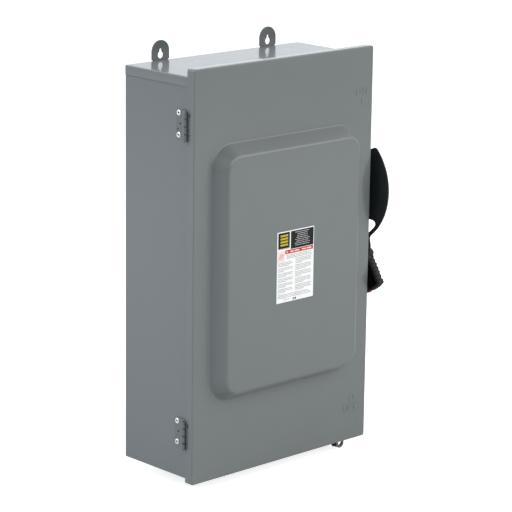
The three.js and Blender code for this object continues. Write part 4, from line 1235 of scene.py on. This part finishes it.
# Soft patches of the surroundings: direction, inner and outer angle in degrees, strength, colour.
SKY = (((0.3, 1, 0.15), 40, 74, 0.8, COOL), ((1, 0.1, 0), 30, 70, 0.35, COOL),
       ((-0.1, -0.1, 1), 25, 70, 0.16, COOL), ((-1, 0.1, 0.2), 20, 70, 0.55, COOL),
       ((0.6, -0.8, 0.35), 20, 80, 0.35, WARM), ((0.45, -0.8, 0.45), 12, 36, 1.3, WARM),
       ((-0.3, -0.65, 0.7), 6, 22, 2.0, WARM), ((0, 0, -1), 30, 100, 0.3, WARM))
LIT_POINT = (0, -0.1, 0)
FLOOR_HALF = 9
FLOOR_GAP = 3 * MM
FLOOR_GLOW = 0.8
LENS, SENSOR_WIDTH = 164.17, 36
AZIMUTH, ELEVATION, ROLL = (math.radians(angle) for angle in (-43.49, 13.95, 0.78))
CAMERA_TARGET, CAMERA_DISTANCE = Vector((0.0178, -0.100, -0.0079)), 4.26027


def area_light(name, location, size, power, colour):
    light = bpy.data.lights.new(name, "AREA")
    light.shape = "RECTANGLE"
    light.size, light.size_y = size
    light.energy = power
    light.color = colour
    obj = link_object(name, light)
    obj.location = location
    obj.rotation_euler = (Vector(LIT_POINT) - Vector(location)).to_track_quat("-Z", "Y").to_euler()
    return obj


def sky_patch(tree, direction, inner, outer, strength, colour):
    """A soft round patch of the surroundings, inner and outer in degrees from its middle."""
    dot = add_node(tree, "VectorMath", {1: Vector(direction).normalized()}, operation="DOT_PRODUCT")
    tree.links.new(tree.nodes["Direction"].outputs["Generated"], dot.inputs[0])
    reach = {"From Min": math.cos(math.radians(outer)), "From Max": math.cos(math.radians(inner))}
    fade = add_node(tree, "MapRange", {**reach, "To Max": strength}, interpolation_type="SMOOTHSTEP")
    tree.links.new(dot.outputs["Value"], fade.inputs["Value"])
    tint = add_node(tree, "VectorMath", {0: colour}, operation="SCALE")
    tree.links.new(fade.outputs["Result"], tint.inputs["Scale"])
    return tint.outputs["Vector"]


def studio():
    """Soft surroundings that the camera sees as white, a pale floor and two large soft lights."""
    world = bpy.data.worlds.new("studio")
    bpy.context.scene.world = world
    world.use_nodes = True
    tree = world.node_tree
    tree.nodes.new("ShaderNodeTexCoord").name = "Direction"
    total = None
    for patch in SKY:
        light = sky_patch(tree, *patch)
        if total:
            add = add_node(tree, "VectorMath")
            tree.links.new(total, add.inputs[0])
            tree.links.new(light, add.inputs[1])
            light = add.outputs["Vector"]
        total = light
    lit = tree.nodes["Background"]
    tree.links.new(total, lit.inputs["Color"])
    paths = add_node(tree, "LightPath")
    seen = add_node(tree, "Background", {"Color": WHITE})
    mix = add_node(tree, "MixShader")
    tree.links.new(paths.outputs["Is Camera Ray"], mix.inputs[0])
    tree.links.new(lit.outputs[0], mix.inputs[1])
    tree.links.new(seen.outputs[0], mix.inputs[2])
    tree.links.new(mix.outputs[0], tree.nodes["World Output"].inputs["Surface"])

    corners = [(x * FLOOR_HALF, y * FLOOR_HALF, 0) for x, y in ((-1, -1), (1, -1), (1, 1), (-1, 1))]
    floor = add_mesh("floor", corners, [(0, 1, 2, 3)])
    floor.location.z = cad_bounds[0][2] - FLOOR_GAP
    pale = Material("pale_floor", "C4C6C8", 0.9).mottle(500 * MM, 0.002).bump(80 * MM, 0.01 * MM)
    pale.shader.inputs["Emission Color"].default_value = WHITE
    ray = add_node(pale.tree, "LightPath")
    glow = add_node(pale.tree, "Math", {1: FLOOR_GLOW}, operation="MULTIPLY")
    pale.link(ray.outputs["Is Camera Ray"], glow.inputs[0])
    pale.link(glow.outputs["Value"], pale.shader.inputs["Emission Strength"])
    paint(floor, pale.material)

    front = area_light("front_softbox", (1.43, -2.70, 1.49), (3.4, 2.4), 66, WARM)
    front.visible_glossy = False
    area_light("side_softbox", (-2.4, 0.9, 2.1), (2.6, 2.6), 86, COOL)


def camera():
    """The viewing angle of the reference: from the left, a little above, through a long lens."""
    lens = bpy.data.cameras.new("camera")
    lens.lens = LENS
    lens.sensor_width = SENSOR_WIDTH
    lens.clip_end = 60
    obj = link_object("camera", lens)
    back = Vector((math.sin(AZIMUTH) * math.cos(ELEVATION), -math.cos(AZIMUTH) * math.cos(ELEVATION),
                   math.sin(ELEVATION)))
    level_right = Vector((0, 0, 1)).cross(back).normalized()
    level_up = back.cross(level_right)
    right = level_right * math.cos(ROLL) + level_up * math.sin(ROLL)
    up = level_up * math.cos(ROLL) - level_right * math.sin(ROLL)
    place = Matrix((right, up, back)).transposed().to_4x4()
    place.translation = CAMERA_TARGET + back * CAMERA_DISTANCE
    obj.matrix_world = place
    bpy.context.scene.camera = obj


door_panel()
enclosure()
hanging_lugs()
hinges()
rating_label()
wiring_label()
hasp()
handle()
interior()
studio()
camera()
bpy.context.scene.view_settings.view_transform = "Standard"
